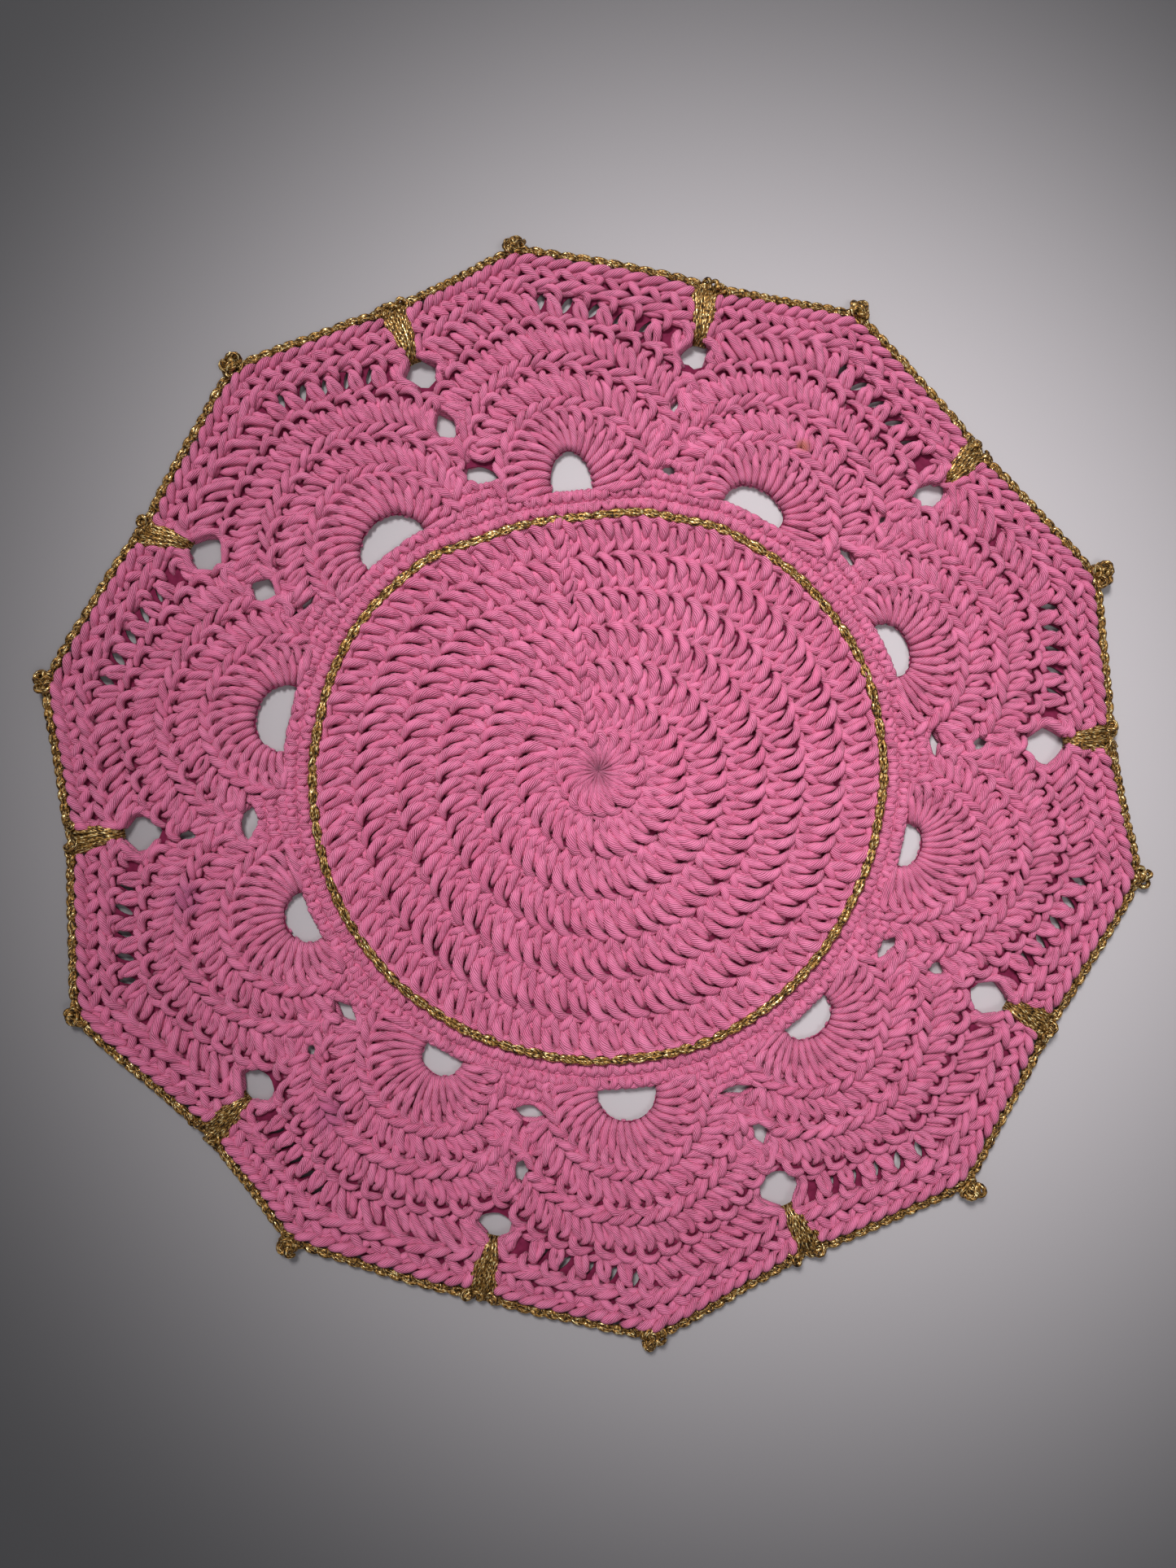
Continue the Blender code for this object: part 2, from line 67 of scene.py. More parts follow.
@dataclass(frozen=True)
class Gap:
    """An open place in a valley: its size outwards and across, its shift aside and its lean."""

    reach: float
    high: float
    wide: float
    aside: float = 0.0
    lean_deg: float = 0.0

    # 1 draws a diamond and 2 an oval. Strands are laid this many millimetres clear of the edge.
    POWER = 1.5
    MARGIN = 0.9

    @property
    def lean(self) -> tuple[float, float]:
        """The cosine and sine of its lean."""
        return math.cos(math.radians(self.lean_deg)), math.sin(math.radians(self.lean_deg))

    def own(self, ahead: np.ndarray, aside: np.ndarray) -> tuple[np.ndarray, np.ndarray]:
        """Turn places in the valley into places from the gap's middle.

        Args:
            ahead: How far outwards the points lie.
            aside: How far to the side of the valley's line.

        Returns:
            How far they lie along the gap's height and across it.
        """
        cosine, sine = self.lean
        off, over = ahead - self.reach, aside - self.aside
        return off * cosine + over * sine, over * cosine - off * sine

    def valley_place(self, along: np.ndarray, across: np.ndarray) -> tuple[np.ndarray, np.ndarray]:
        """Turn places from the gap's middle into places in the valley.

        Args:
            along: How far the points lie along the gap's height.
            across: How far across it.

        Returns:
            How far they lie outwards and to the side of the valley's line.
        """
        cosine, sine = self.lean
        return (self.reach + along * cosine - across * sine,
                self.aside + along * sine + across * cosine)

    def share(self, along: np.ndarray, across: np.ndarray, grow: float) -> np.ndarray:
        """Measure how far out points lie, on a shape between a diamond and an oval.

        Args:
            along: How far the points lie along the gap's height.
            across: How far across it.
            grow: How much larger the gap is taken.

        Returns:
            1 at the gap's edge, and less inside.
        """
        first = np.abs(along) / (self.high / 2.0 + grow)
        second = np.abs(across) / (self.wide / 2.0 + grow)
        return (first**self.POWER + second**self.POWER) ** (1.0 / self.POWER)

    def clear(self, along: np.ndarray, across: np.ndarray) -> tuple[np.ndarray, np.ndarray]:
        """Move the parts of strands that lie in the gap to its edge, on each strand's own side.

        Args:
            along: How far the points lie along the gap's height, a row for each strand.
            across: How far across it.

        Returns:
            The moved points.
        """
        half = (self.high / 2.0 + self.MARGIN, self.wide / 2.0 + self.MARGIN)
        to_round, to_gap = self.POWER / 2.0, 2.0 / self.POWER
        round_x = np.sign(along) * np.abs(along / half[0]) ** to_round
        round_y = np.sign(across) * np.abs(across / half[1]) ** to_round
        side_x = round_x.mean(axis=-1, keepdims=True)
        side_y = round_y.mean(axis=-1, keepdims=True)
        size = np.maximum(np.hypot(side_x, side_y), 1e-6)
        side_x, side_y = side_x / size, side_y / size
        ahead = round_x * side_x + round_y * side_y
        left = ahead**2 - round_x**2 - round_y**2 + 1.0
        inside = round_x**2 + round_y**2 < 1.0
        step = np.where(inside, np.sqrt(np.maximum(left, 0.0)) - ahead, 0.0)
        round_x, round_y = round_x + step * side_x, round_y + step * side_y
        return (np.sign(round_x) * np.abs(round_x) ** to_gap * half[0],
                np.sign(round_y) * np.abs(round_y) ** to_gap * half[1])


@dataclass(frozen=True)
class Valley:
    """Where two scallops meet, as it lies on the real mat."""

    turn_deg: float
    ring: float
    edge: float
    notch: float
    fan: tuple[float, float]
    gaps: tuple[Gap, ...]

    @property
    def fan_start(self) -> float:
        """The reach at which the gold fan comes out of the outer gap."""
        return self.gaps[0].reach + self.gaps[0].high / 2.0

    def fan_aside(self, ahead: np.ndarray) -> np.ndarray:
        """Find the fan's middle line.

        Args:
            ahead: How far outwards.

        Returns:
            How far the line lies to the side of the valley's line.
        """
        return np.interp(ahead, (self.fan_start, self.edge), self.fan)

    def own(self, x: np.ndarray, y: np.ndarray) -> tuple[np.ndarray, np.ndarray]:
        """Turn points of the mat into places in the valley.

        Args:
            x: The points' x.
            y: Their y.

        Returns:
            How far they lie outwards and to the side of the valley's line.
        """
        out_x, out_y = polar(self.turn_deg, 1.0)
        return x * out_x + y * out_y, y * out_x - x * out_y

    def mat_place(self, ahead: np.ndarray, aside: np.ndarray) -> tuple[np.ndarray, np.ndarray]:
        """Turn places in the valley into points of the mat.

        Args:
            ahead: How far outwards they lie.
            aside: How far to the side of the valley's line.

        Returns:
            The points' x and y.
        """
        out_x, out_y = polar(self.turn_deg, 1.0)
        return out_x * ahead - out_y * aside, out_y * ahead + out_x * aside


@dataclass(frozen=True)
class Scallop:
    """One scallop as it lies on the real mat."""

    tip_deg: float
    tip: float
    knot: float
    ring: float
    arch_deg: float
    arch_high: float
    arch_wide: float


VALLEYS = (
    Valley(4.8, 91.9, 168.0, 148.8, (0.6, 0.6), (
        Gap(145.9, 13.0, 13.8, -0.4), Gap(123.9, 5.7, 4.3, 2.2), Gap(109.7, 3.8, 10.8, 3.8))),
    Valley(40.6, 92.6, 165.9, 148.5, (0.3, 1.9), (
        Gap(143.7, 12.2, 8.0, 0.8, -38.0), Gap(126.1, 3.8, 2.6, 4.5), Gap(109.5, 3.0, 8.5, 3.2))),
    Valley(76.9, 88.3, 166.6, 146.2, (0.0, 2.3), (
        Gap(143.3, 6.8, 12.4, 1.1, 28.0), Gap(125.5, 6.0, 3.2, 3.4), Gap(103.8, 3.2, 5.1, 0.6))),
    Valley(113.2, 86.0, 167.8, 147.2, (0.8, 0.8), (
        Gap(144.8, 7.8, 12.7, 0.5), Gap(125.6, 10.4, 7.6), Gap(106.0, 5.4, 13.0, -4.2, -33.0))),
    Valley(150.2, 91.4, 167.6, 150.0, (-0.8, 4.1), (
        Gap(145.3, 11.5, 13.1, -1.3), Gap(123.3, 8.6, 8.4), Gap(109.6, 2.2, 13.0, -2.3, -15.0))),
    Valley(186.4, 90.4, 168.8, 149.6, (-0.9, 0.6), (
        Gap(146.2, 10.8, 13.8, 0.4), Gap(131.3, 5.2, 3.0, 2.5),
        Gap(111.5, 5.4, 12.7, 0.6, -12.0))),
    Valley(221.8, 90.0, 166.0, 147.3, (0.4, 1.7), (
        Gap(144.2, 8.9, 14.0), Gap(123.8, 3.2, 3.8, 2.9), Gap(108.2, 4.3, 11.8, 1.4))),
    Valley(256.6, 88.1, 166.6, 147.7, (1.0, 1.3), (
        Gap(143.8, 7.4, 13.6, 1.0), Gap(125.0, 8.5, 4.2, 4.7), Gap(107.1, 5.6, 11.7, 3.2))),
    Valley(293.6, 89.4, 164.1, 144.8, (1.0, 2.8), (
        Gap(141.9, 11.6, 14.8, 1.0), Gap(123.1, 7.6, 5.6, 2.8),
        Gap(107.7, 3.8, 14.0, 1.3, -15.0))),
    Valley(331.0, 89.5, 165.4, 145.2, (1.4, 1.4), (
        Gap(143.7, 12.1, 12.4, 0.3), Gap(124.2, 5.4, 4.6, 0.6),
        Gap(106.8, 3.8, 9.7, -1.3, -10.0))),
)

SCALLOPS = (
    Scallop(22.4, 174.7, 181.6, 93.2, 24.7, 10.3, 16.3),
    Scallop(60.9, 173.8, 180.2, 91.0, 60.7, 11.5, 18.8),
    Scallop(98.8, 174.4, 180.4, 85.2, 95.0, 15.1, 12.6),
    Scallop(131.4, 176.5, 182.2, 89.9, 130.6, 12.9, 20.8),
    Scallop(170.0, 176.9, 182.0, 90.6, 168.7, 13.5, 19.8),
    Scallop(204.2, 178.6, 183.7, 90.5, 205.2, 11.1, 14.7),
    Scallop(236.4, 172.2, 177.8, 89.0, 240.7, 10.5, 12.1),
    Scallop(275.8, 174.4, 179.5, 88.2, 275.3, 13.1, 17.1),
    Scallop(312.6, 172.5, 179.2, 89.5, 311.8, 10.9, 15.4),
    Scallop(350.0, 176.1, 181.0, 90.4, 348.6, 8.8, 13.0),
)


def ease(low: float, high: float, value: np.ndarray) -> np.ndarray:
    """Change smoothly from 0 to 1.

    Args:
        low: The value up to which the result is 0.
        high: The value from which the result is 1.
        value: The values to ease.

    Returns:
        Shares from 0 to 1.
    """
    share = np.clip((value - low) / (high - low), 0.0, 1.0)
    return share * share * (3.0 - 2.0 * share)


def mix(first: np.ndarray, second: np.ndarray, share: np.ndarray) -> np.ndarray:
    """Blend two values.

    Args:
        first: The value at share 0.
        second: The value at share 1.
        share: How far to go from first to second.

    Returns:
        The blended value.
    """
    return first + (second - first) * share


def polar(turn_deg: np.ndarray, reach: np.ndarray) -> tuple[np.ndarray, np.ndarray]:
    """Find flat points from their turn and reach.

    Args:
        turn_deg: Degrees from +X, anticlockwise.
        reach: Distances from the middle.

    Returns:
        The points' x and y.
    """
    turn = np.radians(turn_deg)
    return reach * np.cos(turn), reach * np.sin(turn)


@dataclass(frozen=True)
class MatPlan:
    """The even mat's sizes, and the warp that lays it as the real one lies."""

    tip_reach: float = 174.7
    notch_reach: float = 147.5
    ring_reach: float = 90.0
    band_reach: float = 96.2
    arch_reach: float = 101.4
    arch_hole: float = 7.6
    arch_row: float = 25.8
    rim: float = 73.1
    chain_yarn: float = 2.4
    part_gap: float = 0.32
    first_valley_deg: float = 4.8
    gable_share: float = 0.060
    gable_turn_deg: float = 43.0
    gable_start: float = 30.0
    centre: tuple[float, float] = (0.1, 3.5)

    @property
    def count(self) -> int:
        """How many scallops there are."""
        return len(SCALLOPS)

    @property
    def cell_deg(self) -> float:
        """The turn from one scallop to the next."""
        return 360.0 / self.count

    @property
    def chain_reach(self) -> float:
        """The reach of the gold chain about an arch."""
        return self.rim + self.part_gap + self.chain_yarn / 2.0

    @property
    def edge_reach(self) -> float:
        """Find the even reach of the gold chain's outer side in a valley.

        Returns:
            The reach in millimetres.
        """
        half = math.radians(self.cell_deg / 2.0)
        side = self.arch_reach * math.sin(half)
        ahead = self.arch_reach * math.cos(half)
        return ahead + math.sqrt(self.chain_reach**2 - side**2) + self.chain_yarn / 2.0

    def valley_turn(self, index: int) -> float:
        """The even turn of a valley."""
        return self.first_valley_deg + index * self.cell_deg

    def tip_turn(self, index: int) -> float:
        """The even turn of a tip."""
        return self.valley_turn(index) + self.cell_deg / 2.0

    def around(self, turn: np.ndarray, at_valleys: list, at_tips: list) -> np.ndarray:
        """Read a value that changes smoothly round the mat.

        Args:
            turn: Even turns in degrees.
            at_valleys: The value at each valley.
            at_tips: The value at each tip.

        Returns:
            The value at each turn.
        """
        values = np.array([value for pair in zip(at_valleys, at_tips) for value in pair])
        place = ((turn - self.first_valley_deg) * 2.0 / self.cell_deg) % len(values)
        step = np.floor(place).astype(int)
        start = values[step % len(values)]
        end = values[(step + 1) % len(values)]
        return mix(start, end, ease(0.0, 1.0, place - step))

    def shape_scallops(self, x: np.ndarray, y: np.ndarray) -> tuple[np.ndarray, np.ndarray]:
        """Give the scallops their gables, and each arched opening its own size.

        Args:
            x: The points' x on the even mat.
            y: Their y.

        Returns:
            The moved x and y.
        """
        turn = np.degrees(np.arctan2(y, x))
        index = (((turn - self.first_valley_deg) % 360.0) / self.cell_deg).astype(int) % self.count
        high = np.array([scallop.arch_high for scallop in SCALLOPS])[index]
        wide = np.array([scallop.arch_wide for scallop in SCALLOPS])[index]
        out_x, out_y = polar(self.tip_turn(0) + index * self.cell_deg, 1.0)
        from_x = x - out_x * self.arch_reach
        from_y = y - out_y * self.arch_reach
        reach = np.maximum(np.hypot(from_x, from_y), MM)
        ahead = from_x * out_x + from_y * out_y
        aside = from_y * out_x - from_x * out_y
        off_axis = np.degrees(np.arctan2(np.abs(aside), ahead))
        bend = np.sin(math.pi * np.minimum(off_axis / self.gable_turn_deg, 1.0))
        keep = 1.0 - self.gable_share * bend * ease(self.gable_start, self.rim, reach)
        fade = 1.0 - ease(self.arch_hole, self.arch_row, reach)
        arch_high = self.arch_reach + self.arch_hole - self.band_reach
        more_ahead = np.maximum(ahead / reach, 0.0) * (high - arch_high) * fade
        more_aside = aside / reach * (wide / 2.0 - self.arch_hole) * fade
        ahead = ahead * keep + more_ahead + self.arch_reach
        aside = aside * keep + more_aside
        return out_x * ahead - out_y * aside, out_y * ahead + out_x * aside

    def lay(self, x: np.ndarray, y: np.ndarray) -> tuple[np.ndarray, np.ndarray]:
        """Lay points of the even mat where they lie on the real, uneven one.

        Args:
            x: The points' x on the even mat.
            y: Their y.

        Returns:
            The laid x and y.
        """
        x, y = self.shape_scallops(x, y)
        reach = np.hypot(x, y)
        turn = np.degrees(np.arctan2(y, x))
        inside = np.minimum(reach / self.ring_reach, 1.0) ** 2
        rings = [valley.ring / self.ring_reach for valley in VALLEYS]
        tip_rings = [scallop.ring / self.ring_reach for scallop in SCALLOPS]
        notches = [valley.notch / self.notch_reach for valley in VALLEYS]
        edges = [valley.edge / self.edge_reach for valley in VALLEYS]
        tips = [scallop.tip / self.tip_reach for scallop in SCALLOPS]
        rim_share = ease(self.notch_reach, self.edge_reach, reach)
        rim_scale = mix(self.around(turn, notches, tips), self.around(turn, edges, tips), rim_share)
        out_share = ease(self.ring_reach, self.notch_reach, reach)
        scale = mix(self.around(turn, rings, tip_rings), rim_scale, out_share)
        scale = mix(1.0, scale, inside)
        valley_shifts = [v.turn_deg - self.valley_turn(i) for i, v in enumerate(VALLEYS)]
        arch_shifts = [s.arch_deg - self.tip_turn(i) for i, s in enumerate(SCALLOPS)]
        tip_shifts = [s.tip_deg - self.tip_turn(i) for i, s in enumerate(SCALLOPS)]
        arch_shift = self.around(turn, valley_shifts, arch_shifts)
        tip_shift = self.around(turn, valley_shifts, tip_shifts)
        shift = mix(arch_shift, tip_shift, ease(self.arch_reach, self.tip_reach, reach)) * inside
        laid_x, laid_y = polar(turn + shift, reach * scale)
        return laid_x + self.centre[0] * (1.0 - inside), laid_y + self.centre[1] * (1.0 - inside)

    def on_disc(self, turn: np.ndarray, reach: np.ndarray) -> tuple[np.ndarray, np.ndarray]:
        """Lay points given by their turn and reach about the disc's middle.

        Args:
            turn: Even turns in degrees.
            reach: Even reaches.

        Returns:
            The laid x and y.
        """
        return self.lay(*polar(turn, reach))

    def on_scallop(self, index: int) -> Place:
        """Give the function that lays points about one scallop's arch.

        Args:
            index: Which scallop.

        Returns:
            A function of the turn from the tip and the reach from the arch.
        """
        middle = polar(self.tip_turn(index), self.arch_reach)

        def place(turn: np.ndarray, reach: np.ndarray) -> tuple[np.ndarray, np.ndarray]:
            """Lay points by their turn from the tip and reach from the arch."""
            x, y = polar(turn + self.tip_turn(index), reach)
            return self.lay(x + middle[0], y + middle[1])

        return place

    def row_limit(self, reach: float) -> float:
        """Find where a row about an arch meets the neighbour's.

        Args:
            reach: The row's reach from the arch.

        Returns:
            The turn from the tip in degrees.
        """
        half = self.cell_deg / 2.0
        share = self.arch_reach * math.sin(math.radians(half)) / reach
        return half + math.degrees(math.asin(min(share, 1.0)))


PLAN = MatPlan()


@dataclass(frozen=True)
class Strand:
    """A length of yarn in a stitch.

    Each bend is (across, along, high, full): shares of the stitch's width and of the row's height,
    millimetres above the table, and the share of the yarn's thickness there. Across runs clockwise.
    Flat tells how much wider than high the yarn is pressed.
    """

    thick: float
    steps: int
    bends: tuple[tuple[float, float, float, float], ...]
    sides: int = 7
    flat: float = 1.1

    # Fine spots on the path, a stitch's usual width and height, and what a bend counts as length.
    SPOTS = 60
    USUAL = (6.0, 11.0, 1.0)
    BEND_COST = 3.0

    def smooth(self, spots: np.ndarray) -> np.ndarray:
        """Work out how much each bend counts at spots of the smooth path.

        Args:
            spots: Places along the path, counted in bends.

        Returns:
            One row for each spot and one column for each bend.
        """
        count = len(self.bends)
        table = np.zeros((len(spots), count))
        for row, spot in enumerate(spots):
            start = min(int(spot), count - 2)
            part = spot - start
            shares = (
                part * (-0.5 + part * (1.0 - 0.5 * part)),
                1.0 + part * part * (-2.5 + 1.5 * part),
                part * (0.5 + part * (2.0 - 1.5 * part)),
                part * part * (-0.5 + 0.5 * part),
            )
            for offset, share in enumerate(shares, start=-1):
                table[row, min(max(start + offset, 0), count - 1)] += share
        return table

    def weights(self) -> np.ndarray:
        """Place the steps, closer together where the path bends.

        Returns:
            One row for each step and one column for each bend.
        """
        fine = np.linspace(0.0, len(self.bends) - 1.0, self.SPOTS)
        path = self.smooth(fine) @ (np.array(self.bends)[:, :3] * self.USUAL)
        run = np.diff(path, axis=0)
        length = np.linalg.norm(run, axis=1)
        ahead = run / length[:, None]
        turn = np.arccos(np.clip((ahead[1:] * ahead[:-1]).sum(axis=1), -1.0, 1.0))
        cost = length + self.BEND_COST * np.append(turn, 0.0)
        total = np.concatenate([[0.0], np.cumsum(cost)])
        return self.smooth(np.interp(np.linspace(0.0, total[-1], self.steps), total, fine))


class Stitch(Enum):
    """The stitches of the mat, each as its strands of yarn, with the rim at the top."""

    CENTRE = (
        Strand(1.35, 7, (
            (0.25, 0.86, 2.3, 0.6), (0.32, 0.66, 3.0, 1.0), (0.42, 0.40, 3.3, 1.05),
            (0.50, 0.15, 3.3, 0.9), (0.55, -0.08, 2.6, 0.6))),
        Strand(1.45, 10, (
            (-0.28, 0.84, 2.0, 0.5), (0.02, 0.93, 3.0, 0.85), (0.36, 0.94, 3.6, 1.0),
            (0.68, 0.86, 3.8, 1.05), (0.88, 0.70, 3.7, 1.0), (0.95, 0.48, 3.3, 0.9),
            (0.98, 0.22, 3.0, 0.7), (1.00, 0.00, 2.4, 0.4))),
        Strand(0.90, 5, (
            (-0.25, 1.03, 2.6, 0.5), (0.15, 1.07, 3.1, 1.0), (0.55, 1.05, 3.1, 1.0),
            (0.95, 0.98, 2.5, 0.5))),
    )
    DISC_DOUBLE = (
        Strand(1.26, 8, (
            (0.16, 0.84, 2.0, 0.5), (0.26, 0.67, 3.0, 0.9), (0.40, 0.45, 3.3, 1.0),
            (0.53, 0.26, 3.2, 1.05), (0.62, 0.10, 2.7, 0.95), (0.66, -0.05, 1.6, 0.5))),
        Strand(1.40, 11, (
            (-0.14, 0.98, 1.9, 0.4), (0.10, 1.00, 3.0, 0.75), (0.42, 0.94, 3.6, 1.0),
            (0.70, 0.81, 3.9, 1.15), (0.89, 0.63, 3.7, 1.15), (0.96, 0.46, 3.1, 0.8),
            (0.96, 0.34, 1.9, 0.35))),
        Strand(1.26, 8, (
            (1.34, 0.42, 1.6, 0.4), (1.12, 0.29, 2.7, 0.9), (0.88, 0.16, 3.1, 1.1),
            (0.66, 0.04, 2.7, 0.9), (0.46, -0.07, 1.5, 0.4))),
        Strand(1.20, 4, (
            (-0.12, 1.04, 1.4, 0.7), (0.30, 1.05, 2.3, 1.0), (0.72, 1.05, 2.3, 1.0),
            (1.12, 1.04, 1.4, 0.7)), 6),
        Strand(1.25, 4, (
            (-0.06, 0.78, 1.5, 0.7), (0.06, 0.58, 2.2, 1.0), (0.20, 0.36, 2.2, 1.0),
            (0.34, 0.12, 1.5, 0.7)), 6),
        Strand(1.15, 4, (
            (0.60, 0.62, 1.4, 0.7), (0.74, 0.44, 2.3, 1.0), (0.86, 0.28, 2.3, 1.0),
            (0.98, 0.10, 1.4, 0.7)), 6),
    )
    ARCH_DOUBLE = (
        Strand(1.22, 9, (
            (0.10, 0.80, 2.0, 0.5), (0.26, 0.66, 3.0, 0.95), (0.46, 0.49, 3.3, 1.1),
            (0.68, 0.32, 3.3, 1.25), (0.88, 0.15, 2.9, 1.4), (1.00, 0.02, 1.6, 1.2))),
        Strand(1.22, 10, (
            (-0.34, 0.86, 1.9, 0.4), (-0.06, 0.93, 2.9, 0.8), (0.32, 0.95, 3.6, 1.0),
            (0.66, 0.88, 3.9, 1.05), (0.88, 0.75, 3.8, 1.05), (0.96, 0.61, 3.3, 0.9),
            (0.96, 0.48, 2.3, 0.4))),
        Strand(1.05, 7, (
            (0.78, 0.56, 1.5, 0.5), (0.95, 0.42, 2.3, 0.9), (1.16, 0.24, 2.4, 1.0),
            (1.38, 0.05, 1.6, 0.8)), 6),
        Strand(1.00, 5, (
            (-0.10, 0.82, 1.5, 0.7), (0.30, 0.84, 2.1, 1.0), (0.70, 0.78, 2.1, 1.0),
            (1.00, 0.84, 1.5, 0.7)), 6),
    )
    LEANING_PAIR = (
        Strand(1.22, 9, (
            (-0.30, 0.88, 1.9, 0.4), (-0.02, 0.97, 3.0, 0.85), (0.32, 0.96, 3.6, 1.0),
            (0.60, 0.84, 3.8, 1.05), (0.76, 0.66, 3.5, 1.0), (0.82, 0.48, 2.2, 0.5))),
        Strand(1.24, 8, (
            (0.42, 0.70, 2.0, 0.4), (0.60, 0.60, 3.2, 0.95), (0.80, 0.42, 3.6, 1.1),
            (0.96, 0.22, 3.4, 1.05), (1.08, 0.06, 2.8, 0.9), (1.14, -0.06, 1.8, 0.4))),
        Strand(1.18, 9, (
            (0.30, 0.86, 1.8, 0.4), (0.16, 0.70, 2.8, 0.95), (0.10, 0.51, 3.1, 1.0),
            (0.18, 0.32, 3.2, 1.0), (0.36, 0.16, 3.1, 1.05), (0.62, 0.05, 2.6, 0.9),
            (0.84, -0.05, 1.7, 0.4))),
        Strand(1.10, 6, (
            (0.10, 0.68, 1.7, 0.5), (0.28, 0.55, 2.8, 1.0), (0.48, 0.40, 3.0, 1.0),
            (0.62, 0.25, 2.7, 0.9), (0.74, 0.08, 1.6, 0.5)), 6),
        Strand(1.20, 4, (
            (0.98, 0.74, 1.3, 0.7), (1.04, 0.52, 2.2, 1.0), (1.16, 0.28, 2.2, 1.0),
            (1.32, 0.04, 1.3, 0.7)), 6),
    )
    DENSE_DOUBLE = (
        Strand(1.20, 9, (
            (-0.28, 0.86, 1.9, 0.4), (-0.02, 0.95, 3.0, 0.85), (0.30, 0.96, 3.6, 1.0),
            (0.56, 0.85, 3.8, 1.05), (0.68, 0.68, 3.5, 1.0), (0.74, 0.50, 2.2, 0.5))),
        Strand(1.20, 8, (
            (0.38, 0.68, 2.0, 0.4), (0.52, 0.58, 3.2, 0.95), (0.68, 0.41, 3.6, 1.05),
            (0.84, 0.22, 3.4, 1.05), (0.98, 0.07, 2.8, 0.9), (1.06, -0.05, 1.8, 0.4))),
        Strand(1.14, 9, (
            (0.28, 0.82, 1.8, 0.4), (0.14, 0.67, 2.8, 0.95), (0.06, 0.49, 3.1, 1.0),
            (0.12, 0.30, 3.2, 1.0), (0.29, 0.14, 3.1, 1.0), (0.54, 0.04, 2.6, 0.9),
            (0.76, -0.04, 1.7, 0.4))),
        Strand(1.05, 6, (
            (0.06, 0.66, 1.7, 0.5), (0.24, 0.54, 2.8, 1.0), (0.40, 0.40, 3.0, 1.0),
            (0.52, 0.25, 2.7, 0.9), (0.62, 0.08, 1.6, 0.5)), 6),
        Strand(1.20, 4, (
            (0.88, 0.80, 1.3, 0.7), (0.92, 0.58, 2.1, 1.0), (1.00, 0.34, 2.1, 1.0),
            (1.08, 0.10, 1.3, 0.7)), 6),
    )
    OPEN_DOUBLE = (
        Strand(1.15, 8, (
            (0.44, 0.74, 2.0, 0.4), (0.26, 0.62, 3.0, 0.95), (0.14, 0.44, 3.3, 1.0),
            (0.14, 0.24, 3.1, 1.0), (0.26, 0.06, 2.7, 0.95), (0.40, -0.12, 1.8, 0.4))),
        Strand(1.20, 9, (
            (-0.30, 0.88, 2.0, 0.4), (-0.06, 0.98, 3.0, 0.9), (0.22, 1.00, 3.5, 1.0),
            (0.48, 0.90, 3.7, 1.05), (0.58, 0.72, 3.5, 1.05), (0.54, 0.52, 2.4, 0.5))),
        Strand(1.18, 8, (
            (0.02, 0.76, 2.0, 0.4), (0.16, 0.68, 2.9, 0.95), (0.34, 0.52, 3.6, 1.05),
            (0.48, 0.34, 3.4, 1.05), (0.54, 0.14, 2.9, 1.0), (0.50, -0.08, 1.8, 0.4))),
        Strand(1.10, 7, (
            (1.14, 0.12, 1.8, 0.4), (0.92, 0.08, 2.7, 0.95), (0.68, 0.00, 2.9, 1.0),
            (0.44, -0.08, 2.6, 0.9), (0.24, -0.16, 1.7, 0.4))),
    )
    OPEN_LEANING = (
        Strand(1.26, 11, (
            (-0.30, 0.88, 2.0, 0.4), (-0.04, 0.97, 3.1, 0.9), (0.24, 0.94, 3.6, 1.0),
            (0.46, 0.78, 3.8, 1.05), (0.62, 0.58, 3.7, 1.05), (0.78, 0.37, 3.4, 1.0),
            (0.96, 0.17, 2.9, 0.9), (1.12, -0.02, 1.8, 0.4))),
        Strand(1.16, 8, (
            (0.10, 0.78, 1.8, 0.4), (0.18, 0.58, 2.8, 1.0), (0.31, 0.36, 3.0, 1.05),
            (0.50, 0.16, 2.8, 0.9), (0.70, -0.04, 1.8, 0.4))),
        Strand(1.08, 6, (
            (0.66, 0.22, 1.7, 0.4), (0.42, 0.08, 2.6, 1.0), (0.20, -0.04, 2.6, 1.0),
            (-0.02, -0.15, 1.6, 0.4))),
        Strand(1.12, 7, (
            (0.58, 0.92, 1.5, 0.5), (0.76, 0.74, 2.7, 0.95), (0.88, 0.56, 2.9, 1.0),
            (1.02, 0.38, 2.6, 0.9), (1.14, 0.22, 1.6, 0.5)), 6),
        Strand(1.15, 4, (
            (0.30, 0.70, 1.3, 0.8), (0.46, 0.48, 2.0, 1.0), (0.62, 0.26, 2.0, 1.0),
            (0.80, 0.06, 1.3, 0.8)), 6),
    )
    SINGLE = (
        Strand(1.24, 8, (
            (-0.20, 1.14, 1.9, 0.4), (0.08, 0.84, 3.0, 0.95), (0.38, 0.48, 3.4, 1.1),
            (0.68, 0.12, 2.9, 0.9), (0.90, -0.10, 1.8, 0.4))),
        Strand(1.12, 6, (
            (1.16, 1.00, 1.8, 0.4), (0.98, 0.74, 2.8, 1.0), (0.80, 0.46, 2.8, 1.0),
            (0.66, 0.18, 1.8, 0.4)), 6),
    )
